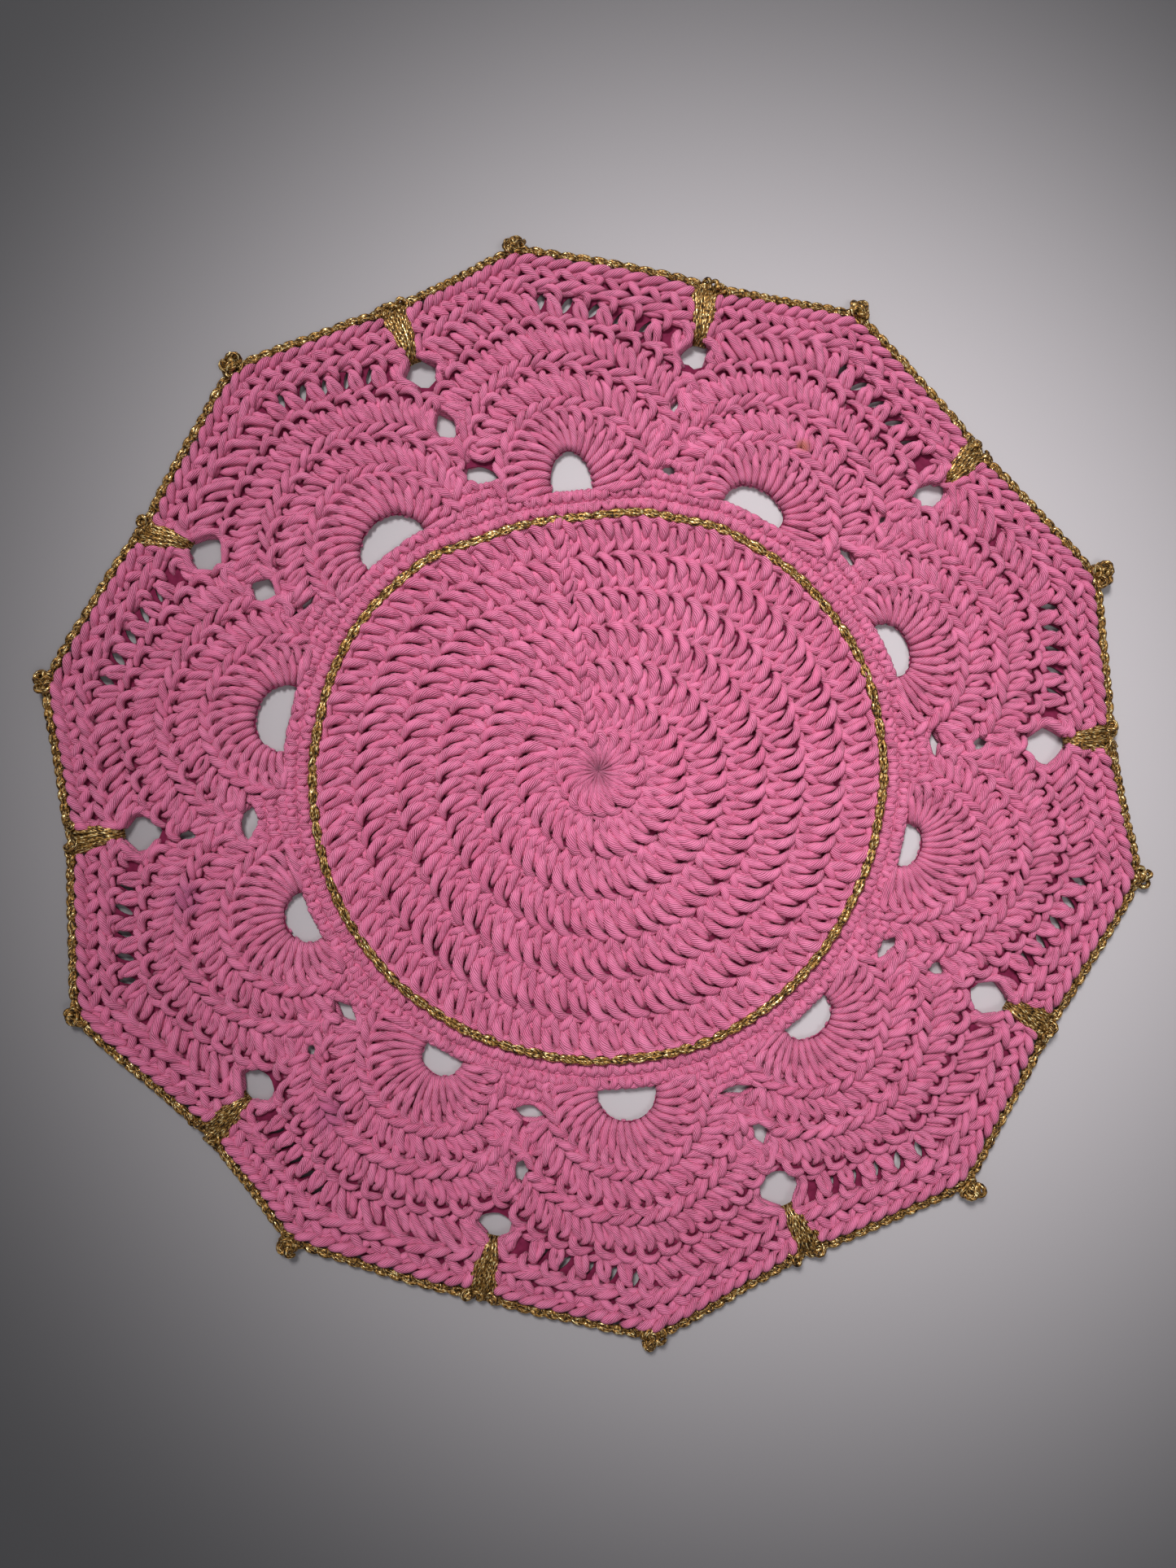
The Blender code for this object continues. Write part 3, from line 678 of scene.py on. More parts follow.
    LEAF_PAIR = (
        Strand(1.12, 5, (
            (-0.08, 1.08, 1.7, 0.4), (0.10, 0.76, 2.8, 0.95), (0.32, 0.40, 3.1, 1.05),
            (0.48, 0.00, 2.0, 0.5))),
        Strand(1.12, 5, (
            (1.04, 1.08, 1.7, 0.4), (0.88, 0.76, 2.9, 0.95), (0.68, 0.40, 3.2, 1.05),
            (0.52, 0.00, 2.0, 0.5))),
        Strand(1.20, 4, (
            (-0.12, 0.16, 1.3, 0.8), (0.20, 0.26, 2.2, 1.0), (0.84, 0.26, 2.2, 1.0),
            (1.12, 0.16, 1.3, 0.8)), 6),
        Strand(1.10, 4, (
            (0.20, 0.92, 1.3, 0.8), (0.40, 0.86, 2.2, 1.0), (0.64, 0.86, 2.2, 1.0),
            (0.84, 0.92, 1.3, 0.8)), 6),
    )
    ROPE = (
        Strand(1.20, 8, (
            (-0.34, -1.05, 2.0, 0.35), (-0.04, -0.80, 3.2, 0.85), (0.40, -0.12, 4.0, 1.10),
            (0.86, 0.60, 3.8, 0.95), (1.20, 1.00, 2.5, 0.35))),
        Strand(1.08, 5, (
            (-0.12, -1.75, 1.7, 0.4), (0.30, -1.45, 2.7, 1.0), (0.72, -1.00, 2.8, 1.0),
            (1.12, -0.55, 1.9, 0.4)), 6),
    )
    BACK = (
        Strand(1.15, 4, (
            (0.34, 1.02, 1.0, 0.8), (0.40, 0.66, 0.95, 1.0), (0.52, 0.30, 0.95, 1.0),
            (0.56, -0.02, 1.0, 0.8)), 6, 1.6),
        Strand(1.05, 5, (
            (-0.25, 0.70, 1.1, 0.6), (0.15, 0.56, 0.85, 1.0), (0.65, 0.58, 0.85, 1.0),
            (1.15, 0.74, 1.1, 0.6)), 6, 1.6),
    )
    GOLD_LINK = (
        Strand(0.80, 7, (
            (-0.10, 0.00, 3.7, 0.6), (0.14, 0.34, 4.4, 1.0), (0.45, 0.52, 4.7, 1.0),
            (0.78, 0.44, 4.7, 1.0), (1.06, 0.16, 4.5, 0.9), (1.22, 0.02, 3.8, 0.5)), 6),
        Strand(0.80, 7, (
            (-0.10, 0.00, 3.7, 0.6), (0.14, -0.34, 4.4, 1.0), (0.45, -0.52, 4.7, 1.0),
            (0.78, -0.44, 4.7, 1.0), (1.06, -0.16, 4.5, 0.9), (1.22, -0.02, 3.8, 0.5)), 6),
    )
    GOLD_EDGE = (
        Strand(0.80, 7, (
            (-0.10, 0.00, 1.3, 0.6), (0.14, 0.36, 2.0, 1.0), (0.45, 0.55, 2.4, 1.0),
            (0.78, 0.46, 2.4, 1.0), (1.06, 0.18, 2.1, 0.9), (1.22, 0.02, 1.4, 0.5)), 6),
        Strand(0.80, 7, (
            (-0.10, 0.00, 1.3, 0.6), (0.14, -0.36, 2.2, 1.0), (0.45, -0.55, 2.7, 1.0),
            (0.78, -0.46, 2.7, 1.0), (1.06, -0.18, 2.1, 0.9), (1.22, -0.02, 1.4, 0.5)), 6),
        Strand(0.62, 6, (
            (0.30, 0.25, 1.2, 0.7), (0.42, -0.20, 2.9, 1.0), (0.50, -0.75, 3.2, 1.0),
            (0.55, -1.05, 2.2, 0.7)), 6),
    )


@dataclass(frozen=True)
class Round:
    """Stitches placed side by side along a round or row."""

    stitch: Stitch
    turns: np.ndarray
    pitch: np.ndarray
    base: float
    top: float
    wobble: float = 0.05
    squeeze: float = 3.6
    least: float = 0.5
    raised: float = 0.0


class YarnWork:
    """Strands of yarn gathered into one closed mesh, with a map that follows each strand."""

    MAP_NAME = "yarn"
    TONE_NAME = "tone"
    MAP_LENGTH = 10.0
    FULL = 0.99
    TABLE_CLEAR = 0.05
    GAP_LEAST = 0.55
    MOST_STRETCH = 3.5
    LEAST_LEFT = 0.45

    def __init__(self, name: str, seed: int) -> None:
        """Start an empty piece.

        Args:
            name: The piece's name.
            seed: What its small unevenness starts from.
        """
        self.name = name
        self.chance = np.random.default_rng(seed)
        self.points: list[np.ndarray] = []
        self.quads: list[np.ndarray] = []
        self.caps: list[np.ndarray] = []
        self.maps: list[np.ndarray] = []
        self.tones: list[np.ndarray] = []
        self.total = 0

    def add_paths(self, paths: np.ndarray, wide: np.ndarray, high: np.ndarray, sides: int) -> None:
        """Add tubes of yarn along smooth paths.

        Args:
            paths: The tubes' middle lines, as tubes by steps by three.
            wide: Half the yarn's width at each step.
            high: Half its height at each step.
            sides: How many sides a tube has.
        """
        tubes, steps = paths.shape[:2]
        along = np.gradient(paths, axis=1)
        along /= np.linalg.norm(along, axis=2, keepdims=True)
        side = np.cross(along, (0.0, 0.0, 1.0))
        side /= np.linalg.norm(side, axis=2, keepdims=True) + MM
        up = np.cross(side, along)
        angle = np.arange(sides) * math.tau / sides
        across = side[:, :, None, :] * (wide[:, :, None] * np.cos(angle))[..., None]
        above = up[:, :, None, :] * (high[:, :, None] * np.sin(angle))[..., None]
        points = paths[:, :, None, :] + across + above
        index = self.total + np.arange(tubes * steps * sides).reshape(tubes, steps, sides)
        self.total += index.size
        following = np.roll(index, -1, axis=2)
        corners = (index[:, :-1], index[:, 1:], following[:, 1:], following[:, :-1])
        length = np.linalg.norm(np.diff(paths, axis=1), axis=2)
        length = np.concatenate([np.zeros((tubes, 1)), np.cumsum(length, axis=1)], axis=1)
        start = self.chance.random((tubes, 1)) * self.MAP_LENGTH
        v = np.broadcast_to(((length + start) / self.MAP_LENGTH)[:, :, None], index.shape)
        u = np.broadcast_to(np.arange(sides) / sides, index.shape)
        low, high_v = v[:, :-1], v[:, 1:]
        left, right = u[:, :-1], u[:, :-1] + 1.0 / sides
        pairs = ((left, low), (left, high_v), (right, high_v), (right, low))
        self.points.append(points.reshape(-1, 3))
        self.quads.append(np.stack(corners, axis=-1).reshape(-1, 4))
        self.caps += [index[:, 0], index[:, -1, ::-1]]
        self.maps.append(np.stack([np.stack(pair, axis=-1) for pair in pairs], axis=-2).reshape(-1, 2))
        tone = np.broadcast_to(self.chance.random((tubes, 1, 1)), index.shape)
        self.tones.append(tone.reshape(-1))

    def add_round(self, work: Round, place: Place, spare: bool = False) -> None:
        """Add a round or row of stitches.

        Args:
            work: The round.
            place: The function that lays its turns and reaches.
            spare: Whether its strands make way for the open places and the gold fans.
        """
        turns, pitch = work.turns, work.pitch
        if spare:
            middles = place(turns, np.full_like(turns, (work.base + work.top) / 2.0))
            kept = outside_gaps(*middles, least=self.GAP_LEAST)
            turns, pitch = turns[kept], pitch[kept]
        if not len(turns):
            return
        count = len(turns)
        shift = self.chance.normal(0.0, work.wobble, (count, 1))
        lift = self.chance.normal(0.0, 2.0 * work.wobble, (count, 1)) + work.raised
        swell = 1.0 + self.chance.normal(0.0, work.wobble, (count, 1))
        for strand in work.stitch.value:
            bends = np.array(strand.bends)
            weights = strand.weights()
            size = (count, len(bends))
            across = bends[:, 0] + shift + self.chance.normal(0.0, 0.4 * work.wobble, size)
            along = bends[:, 1] + self.chance.normal(0.0, 0.3 * work.wobble, size)
            height = bends[:, 2] + lift + self.chance.normal(0.0, work.wobble, size)
            turn = (turns[:, None] - (across - 0.5) * pitch[:, None]) @ weights.T
            reach = (work.base + along * (work.top - work.base)) @ weights.T
            x, y = place(turn, reach)
            paths = np.stack([x, y, height @ weights.T], axis=-1)
            before = place(turn - pitch[:, None] / 2.0, reach)
            after = place(turn + pitch[:, None] / 2.0, reach)
            room = np.hypot(after[0] - before[0], after[1] - before[1])
            squeeze = np.clip(room / work.squeeze, work.least, 1.0)
            full = self.FULL * strand.thick * swell * (bends[:, 3] @ weights.T)
            wide = full * squeeze * strand.flat
            high = full * (0.5 + 0.5 * squeeze) / strand.flat
            paths[:, :, 2] = np.maximum(paths[:, :, 2], high / 2.0 + self.TABLE_CLEAR)
            if spare:
                moved = np.stack(make_way(x, y), axis=-1)
                legs = np.linalg.norm(np.diff(moved, axis=1), axis=-1)
                were = np.linalg.norm(np.diff(paths[:, :, :2], axis=1), axis=-1)
                whole = (legs - were).max(axis=1) < self.MOST_STRETCH
                whole &= legs.sum(axis=1) > self.LEAST_LEFT * were.sum(axis=1)
                paths[:, :, :2] = moved
                paths, wide, high = paths[whole], wide[whole], high[whole]
            if len(paths):
                self.add_paths(paths, wide, high, strand.sides)

    def build(self, material: bpy.types.Material) -> bpy.types.Object:
        """Make the mesh.

        Args:
            material: What it is finished in.

        Returns:
            The new object, at the origin.
        """
        points = np.concatenate(self.points) * MM
        quads = np.concatenate(self.quads)
        mesh = bpy.data.meshes.new(self.name)
        mesh.vertices.add(len(points))
        mesh.vertices.foreach_set("co", points.astype(np.float32).ravel())
        ends = np.concatenate([cap.ravel() for cap in self.caps])
        corners = np.concatenate([quads.ravel(), ends])
        mesh.loops.add(len(corners))
        mesh.loops.foreach_set("vertex_index", corners.astype(np.int32))
        sizes = [np.full(len(quads), 4)] + [np.full(*cap.shape) for cap in self.caps]
        sizes = np.concatenate(sizes)
        starts = np.concatenate([[0], np.cumsum(sizes)[:-1]])
        mesh.polygons.add(len(sizes))
        mesh.polygons.foreach_set("loop_start", starts.astype(np.int32))
        mesh.update(calc_edges=True)
        layer = mesh.uv_layers.new(name=self.MAP_NAME)
        flat = np.concatenate([np.concatenate(self.maps), np.zeros((ends.size, 2))])
        layer.data.foreach_set("uv", flat.astype(np.float32).ravel())
        tone = mesh.attributes.new(self.TONE_NAME, "FLOAT", "POINT")
        tone.data.foreach_set("value", np.concatenate(self.tones).astype(np.float32))
        mesh.shade_smooth()
        mesh.materials.append(material)
        piece = add_object(self.name, mesh)
        faces = int(sizes.sum()) - 2 * len(sizes)
        strands = sum(len(cap) for cap in self.caps) // 2
        LOG.info("%s: %d strands, %d triangles", self.name, strands, faces)
        return piece


def add_object(name: str, data: bpy.types.ID) -> bpy.types.Object:
    """Put a new object in the scene.

    Args:
        name: Its name.
        data: Its mesh, lamp or camera.

    Returns:
        The object.
    """
    made = bpy.data.objects.new(name, data)
    bpy.context.scene.collection.objects.link(made)
    return made


def even_turns(count: int, start_deg: float = 0.0) -> tuple[np.ndarray, np.ndarray]:
    """Spread stitches evenly all the way round.

    Args:
        count: How many there are.
        start_deg: Where the first one lies.

    Returns:
        Their turns, and their pitches in degrees.
    """
    pitch = 360.0 / count
    return start_deg + np.arange(count) * pitch, np.full(count, pitch)


def fan_turns(count: int, limit: float) -> tuple[np.ndarray, np.ndarray]:
    """Spread stitches evenly on both sides of a tip.

    Args:
        count: How many there are.
        limit: The turn from the tip at which they end.

    Returns:
        Their turns from the tip, and their pitches in degrees.
    """
    pitch = 2.0 * limit / count
    return (np.arange(count) - (count - 1) / 2.0) * pitch, np.full(count, pitch)


@dataclass(frozen=True)
class Socket:
    """A named input or output of a node group."""

    name: str
    kind: str
    output: bool = False
    value: float | None = None


class Nodes:
    """A short way to add and link shader nodes in one tree."""

    def __init__(self, tree: bpy.types.NodeTree) -> None:
        """Work in one node tree.

        Args:
            tree: The tree of a material or of a group.
        """
        self.tree = tree

    def add(self, kind: str, **settings: object) -> bpy.types.Node:
        """Add a node.

        Args:
            kind: Its type name.
            **settings: Its properties.

        Returns:
            The node.
        """
        node = self.tree.nodes.new(kind)
        for name, value in settings.items():
            setattr(node, name, value)
        return node

    def feed(self, node: bpy.types.Node, name: str | int, source: object) -> None:
        """Link a socket or set a value.

        Args:
            node: The node that takes it.
            name: The input's name or number.
            source: An output socket, or a plain value.
        """
        if isinstance(source, bpy.types.NodeSocket):
            self.tree.links.new(source, node.inputs[name])
        else:
            node.inputs[name].default_value = source

    def math(self, operation: str, *values: object) -> bpy.types.NodeSocket:
        """Add a Math node.

        Args:
            operation: What it does.
            *values: Its inputs, sockets or numbers.

        Returns:
            Its output.
        """
        node = self.add("ShaderNodeMath", operation=operation)
        for number, value in enumerate(values):
            self.feed(node, number, value)
        return node.outputs[0]

    def mix_colour(self, share: object, first: object, second: object) -> bpy.types.NodeSocket:
        """Mix two colours.

        Args:
            share: How much of the second there is.
            first: The first colour.
            second: The second colour.

        Returns:
            The mixed colour.
        """
        node = self.add("ShaderNodeMix", data_type="RGBA")
        self.feed(node, 0, share)
        self.feed(node, 6, first)
        self.feed(node, 7, second)
        return node.outputs[2]

    def noise(self, place: object, scale: float, detail: float) -> bpy.types.NodeSocket:
        """Add a soft random pattern.

        Args:
            place: The coordinates it follows.
            scale: How fine it is.
            detail: How many finer layers it has.

        Returns:
            Its value, about 0 to 1.
        """
        node = self.add("ShaderNodeTexNoise")
        self.feed(node, "Vector", place)
        self.feed(node, "Scale", scale)
        self.feed(node, "Detail", detail)
        return node.outputs[0]

    def set_all(self, shader: bpy.types.Node, values: dict[str, object]) -> None:
        """Feed several inputs of a shader.

        Args:
            shader: The shader.
            values: A source for each input's name.
        """
        for name, source in values.items():
            self.feed(shader, name, source)

    def bump(self, height: object, distance: float, strength: float) -> bpy.types.NodeSocket:
        """Add a Bump node.

        Args:
            height: What it raises.
            distance: How far, in metres.
            strength: How strongly.

        Returns:
            The bent normal.
        """
        node = self.add("ShaderNodeBump")
        self.set_all(node, {"Strength": strength, "Distance": distance, "Height": height})
        return node.outputs[0]

    def spread(self, value: object, low: float, high: float, to_low: float,
               to_high: float) -> bpy.types.NodeSocket:
        """Stretch a value's range smoothly onto another.

        Args:
            value: The value.
            low: The start of its range.
            high: The end of its range.
            to_low: What the start becomes.
            to_high: What the end becomes.

        Returns:
            The new value.
        """
        node = self.add("ShaderNodeMapRange", interpolation_type="SMOOTHSTEP")
        for number, given in enumerate((value, low, high, to_low, to_high)):
            self.feed(node, number, given)
        return node.outputs[0]


def new_finish(name: str) -> tuple[bpy.types.Material, Nodes, bpy.types.Node]:
    """Start a material.

    Args:
        name: Its name.

    Returns:
        The material, its nodes, and its shader.
    """
    material = bpy.data.materials.new(name)
    material.use_nodes = True
    return material, Nodes(material.node_tree), material.node_tree.nodes["Principled BSDF"]


def srgb(red: float, green: float, blue: float) -> tuple[float, float, float, float]:
    """Turn a colour as seen on a screen into a linear one.

    Args:
        red: Red from 0 to 1.
        green: Green from 0 to 1.
        blue: Blue from 0 to 1.

    Returns:
        The linear colour with full alpha.
    """
    values = []
    for value in (red, green, blue):
        values.append(value / 12.92 if value <= 0.04045 else ((value + 0.055) / 1.055) ** 2.4)
    return values[0], values[1], values[2], 1.0


@dataclass(frozen=True)
class Twist:
    """The lines that the plies draw on a yarn, as a node group that several finishes use."""

    name: str = "yarn twist"

    def group(self) -> bpy.types.NodeTree:
        """Make the group, or find the one made before.

        Returns:
            A group from a strand's map to the ridges of its plies.
        """
        found = bpy.data.node_groups.get(self.name)
        if found is not None:
            return found
        tree = bpy.data.node_groups.new(self.name, "ShaderNodeTree")
        sockets = (
            Socket("Map", "NodeSocketVector"),
            Socket("Place", "NodeSocketVector"),
            Socket("Lines", "NodeSocketFloat", value=13.0),
            Socket("Turn", "NodeSocketFloat", value=1.35),
            Socket("Stray", "NodeSocketFloat", value=0.55),
            Socket("Ridge", "NodeSocketFloat", output=True),
            Socket("Line", "NodeSocketFloat", output=True),
            Socket("Fibre", "NodeSocketFloat", output=True),
        )
        for socket in sockets:
            side = "OUTPUT" if socket.output else "INPUT"
            made = tree.interface.new_socket(socket.name, in_out=side, socket_type=socket.kind)
            if socket.value is not None:
                made.default_value = socket.value
        nodes = Nodes(tree)
        given = nodes.add("NodeGroupInput")
        parts = nodes.add("ShaderNodeSeparateXYZ")
        nodes.feed(parts, 0, given.outputs["Map"])
        stray = nodes.noise(given.outputs["Place"], 300.0, 1.0)
        around = nodes.math("MULTIPLY", parts.outputs[0], given.outputs["Lines"])
        slope = nodes.math("DIVIDE", given.outputs["Lines"], given.outputs["Turn"])
        along = nodes.math("SUBTRACT", around, nodes.math("MULTIPLY", parts.outputs[1], slope))
        phase = nodes.math("MULTIPLY_ADD", stray, given.outputs["Stray"], along)
        wave = nodes.math("COSINE", nodes.math("MULTIPLY", phase, math.tau))
        line = nodes.add("ShaderNodeTexWhiteNoise", noise_dimensions="1D")
        nodes.feed(line, "W", nodes.math("FLOOR", nodes.math("ADD", phase, 0.5)))
        out = nodes.add("NodeGroupOutput")
        # The groove bumps the yarn, and the cotton finish also paints shade into it.
        shaded_groove = nodes.math("MULTIPLY_ADD", wave, -0.5, 0.5)
        worn = nodes.spread(nodes.noise(given.outputs["Place"], 260.0, 1.0), 0.3, 0.7, 0.7, 1.0)
        depth = nodes.math("MULTIPLY", worn, nodes.math("MULTIPLY_ADD", line.outputs[0], 0.4, 0.6))
        deep = nodes.math("MULTIPLY", shaded_groove, depth)
        nodes.feed(out, "Ridge", nodes.math("SUBTRACT", 1.0, deep))
        nodes.feed(out, "Line", line.outputs[0])
        nodes.feed(out, "Fibre", nodes.noise(given.outputs["Place"], 2600.0, 2.0))
        return tree


@dataclass(frozen=True)
class Spot:
    """A place where the yarn's colour differs: its middle and size in metres, and its colour."""

    x: float
    y: float
    size: float
    strength: float
    colour: tuple[float, float, float]


@dataclass(frozen=True)
class CottonFinish:
    """Matt cotton yarn: plies with painted shade in their grooves, and strands of slightly different
    tone.
    """

    name: str = "pink cotton yarn"
    dark: tuple[float, float, float] = (0.900, 0.450, 0.610)
    light: tuple[float, float, float] = (0.965, 0.550, 0.710)
    # The deep pink of the painted shade in the grooves between plies.
    shaded_groove: tuple[float, float, float] = (0.560, 0.130, 0.290)
    pale: tuple[float, float, float] = (1.000, 0.680, 0.800)
    ridge_height: float = 0.00022
    spots: tuple[Spot, ...] = (
        Spot(0.0665, 0.1090, 0.0036, 0.75, (0.760, 0.440, 0.330)),
        Spot(-0.1300, -0.0370, 0.0080, 0.40, (0.640, 0.300, 0.500)),
        Spot(-0.0845, -0.1045, 0.0075, 0.40, (0.640, 0.300, 0.500)),
    )

    def build(self) -> bpy.types.Material:
        """Make the material.

        Returns:
            The material.
        """
        material, nodes, shader = new_finish(self.name)
        strand = nodes.add("ShaderNodeUVMap", uv_map=YarnWork.MAP_NAME).outputs[0]
        place = nodes.add("ShaderNodeTexCoord").outputs["Object"]
        tone = nodes.add("ShaderNodeAttribute", attribute_name=YarnWork.TONE_NAME).outputs["Fac"]
        twist = nodes.add("ShaderNodeGroup", node_tree=Twist().group())
        nodes.feed(twist, "Map", strand)
        nodes.feed(twist, "Place", place)
        patches = nodes.noise(place, 22.0, 3.0)
        shade = nodes.math("MULTIPLY_ADD", patches, 0.5, nodes.math("MULTIPLY", tone, 0.5))
        base = nodes.mix_colour(shade, srgb(*self.dark), srgb(*self.light))
        worn = nodes.math("MULTIPLY", nodes.math("POWER", twist.outputs["Line"], 2.0), 0.35)
        base = nodes.mix_colour(worn, base, srgb(*self.pale))
        # Painted shade: the grooves between plies are coloured darker, besides their bump.
        ply_shade_mix = nodes.spread(twist.outputs["Ridge"], 0.05, 0.9, 0.0, 1.0)
        base = nodes.mix_colour(ply_shade_mix, srgb(*self.shaded_groove), base)
        for spot in self.spots:
            away = nodes.add("ShaderNodeVectorMath", operation="DISTANCE")
            nodes.feed(away, 0, place)
            nodes.feed(away, 1, (spot.x, spot.y, 0.003))
            share = nodes.spread(
                away.outputs["Value"], 0.3 * spot.size, spot.size, spot.strength, 0.0)
            base = nodes.mix_colour(share, base, srgb(*spot.colour))
        fibre = nodes.math("MULTIPLY_ADD", twist.outputs["Fibre"], 0.35, twist.outputs["Ridge"])
        nodes.set_all(shader, {
            "Base Color": base, "Normal": nodes.bump(fibre, self.ridge_height, 1.0),
            "Roughness": 0.70, "Specular IOR Level": 0.25,
            "Sheen Weight": 0.10, "Sheen Roughness": 0.45})
        return material


@dataclass(frozen=True)
class GroundShadeFinish:
    """The inner yarn that shows between the stitches, coloured dark as painted shade."""

    name: str = "pink cotton painted shade"
    # Both tones are painted shade: deep pinks for the shade between the stitches.
    colour: tuple[float, float, float] = (0.360, 0.060, 0.180)
    light: tuple[float, float, float] = (0.540, 0.160, 0.310)

    def build(self) -> bpy.types.Material:
        """Make the material.

        Returns:
            The material.
        """
        material, nodes, shader = new_finish(self.name)
        place = nodes.add("ShaderNodeTexCoord").outputs["Object"]
        strands = nodes.noise(place, 620.0, 3.0)
        base = nodes.mix_colour(strands, srgb(*self.colour), srgb(*self.light))
        nodes.set_all(shader, {
            "Base Color": base, "Normal": nodes.bump(strands, 0.0004, 0.8),
            "Roughness": 0.9, "Specular IOR Level": 0.2})
        return material


@dataclass(frozen=True)
class MetallicFinish:
    """Metallic yarn: foil filaments along the strand, with painted glints and painted shade in brown
    gaps.
    """

    name: str = "gold metallic yarn"
    gold: tuple[float, float, float] = (0.700, 0.510, 0.240)
    # The brown is painted shade between the filaments, and the bright colour a painted glint.
    gap_shade_brown: tuple[float, float, float] = (0.160, 0.095, 0.040)
    painted_glint: tuple[float, float, float] = (1.000, 0.930, 0.700)

    def build(self) -> bpy.types.Material:
        """Make the material.

        Returns:
            The material.
        """
        material, nodes, shader = new_finish(self.name)
        strand = nodes.add("ShaderNodeUVMap", uv_map=YarnWork.MAP_NAME).outputs[0]
        tone = nodes.add("ShaderNodeAttribute", attribute_name=YarnWork.TONE_NAME).outputs["Fac"]
        parts = nodes.add("ShaderNodeSeparateXYZ")
        nodes.feed(parts, 0, strand)
        joined = nodes.add("ShaderNodeCombineXYZ")
        slant = nodes.math("MULTIPLY", parts.outputs[1], 5.0)
        nodes.feed(joined, 0, nodes.math("MULTIPLY_ADD", parts.outputs[0], 13.0, slant))
        nodes.feed(joined, 1, nodes.math("MULTIPLY", parts.outputs[1], 9.0))
        nodes.feed(joined, 2, nodes.math("MULTIPLY", tone, 40.0))
        cells = nodes.noise(joined.outputs[0], 1.0, 1.5)
        # The lowest cells get the painted shade of the gaps, and the highest cells painted glints.
        body = nodes.spread(cells, 0.40, 0.56, 0.0, 1.0)
        lit = nodes.spread(cells, 0.58, 0.66, 0.0, 1.0)
        base = nodes.mix_colour(body, srgb(*self.gap_shade_brown), srgb(*self.gold))
        base = nodes.mix_colour(lit, base, srgb(*self.painted_glint))
        nodes.set_all(shader, {
            "Base Color": base, "Metallic": 0.65,
            "Roughness": nodes.spread(lit, 0.0, 1.0, 0.45, 0.28),
            "Normal": nodes.bump(cells, 0.0003, 1.0)})
        return material


@dataclass(frozen=True)
class FloorLightPoolFinish:
    """The plain pale surface under the mat, with a painted pool of light: softly darker away from its
    middle.
    """

    name: str = "pale floor painted light pool"
    colour: tuple[float, float, float] = (0.790, 0.765, 0.775)
    # A painted falloff of light: from the floor colour at the middle to the darker edge colour far
    # away.
    edge: tuple[float, float, float] = (0.395, 0.390, 0.395)
    middle: tuple[float, float, float] = (0.055, 0.015, 0.0)
    near: float = 0.08
    far: float = 0.34

    def build(self) -> bpy.types.Material:
        """Make the material.

        Returns:
            The material.
        """
        material, nodes, shader = new_finish(self.name)
        away = nodes.add("ShaderNodeVectorMath", operation="DISTANCE")
        nodes.feed(away, 0, nodes.add("ShaderNodeTexCoord").outputs["Object"])
        nodes.feed(away, 1, self.middle)
        share = nodes.spread(away.outputs["Value"], self.near, self.far, 0.0, 1.0)
        base = nodes.mix_colour(share, srgb(*self.colour), srgb(*self.edge))
        nodes.set_all(shader, {"Base Color": base, "Roughness": 0.9, "Specular IOR Level": 0.2})
        return material


def finish_yarn(work: YarnWork, material: bpy.types.Material) -> bpy.types.Object:
    """Make a piece of yarn and tie it to the frame.

    Args:
        work: The strands.
        material: What they are finished in.

    Returns:
        The piece.
    """
    piece = work.build(material)
    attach(piece, "root")
    return piece


def outside_gaps(x: np.ndarray, y: np.ndarray, grow: float = 0.0,
                 least: float = 1.0) -> np.ndarray:
    """Test which points lie clear of the open places between scallops.

    Args:
        x: The points' x.
        y: Their y.
        grow: How much larger the open places are taken.
        least: How far out a clear point lies, as a share of the way to a gap's edge.

    Returns:
        True for each point that is clear.
    """
    clear = np.ones(np.shape(x), dtype=bool)
    for valley in VALLEYS:
        for gap in valley.gaps:
            clear &= gap.share(*gap.own(*valley.own(x, y)), grow) > least
    return clear


def make_way(x: np.ndarray, y: np.ndarray) -> tuple[np.ndarray, np.ndarray]:
    """Push strands aside from the open places between scallops and from the gold fans.

    Args:
        x: The strands' x, a row for each strand.
        y: Their y.

    Returns:
        The moved x and y.
    """
    for valley in VALLEYS:
        ahead, aside = valley.own(x, y)
        for gap in valley.gaps:
            ahead, aside = gap.valley_place(*gap.clear(*gap.own(ahead, aside)))
        roots = (valley.fan_start - FAN_LEAD, valley.fan_start + FAN_FOOT, valley.edge)
        half = np.interp(ahead, roots, FAN_HALF_WIDTHS)
        line = valley.fan_aside(ahead)
        over = aside - line
        lean = np.where(np.mean(over, axis=-1, keepdims=True) < 0.0, -1.0, 1.0)
        signed = over * lean
        parted = lean * (half + np.maximum(signed, 0.0) / FAN_PRESS) + line
        beside = (signed < FAN_REACH * half) & (signed > -FAN_ACROSS)
        near = (half > 0.0) & (ahead > 0.0) & beside
        x, y = valley.mat_place(ahead, np.where(near, parted, aside))
    return x, y


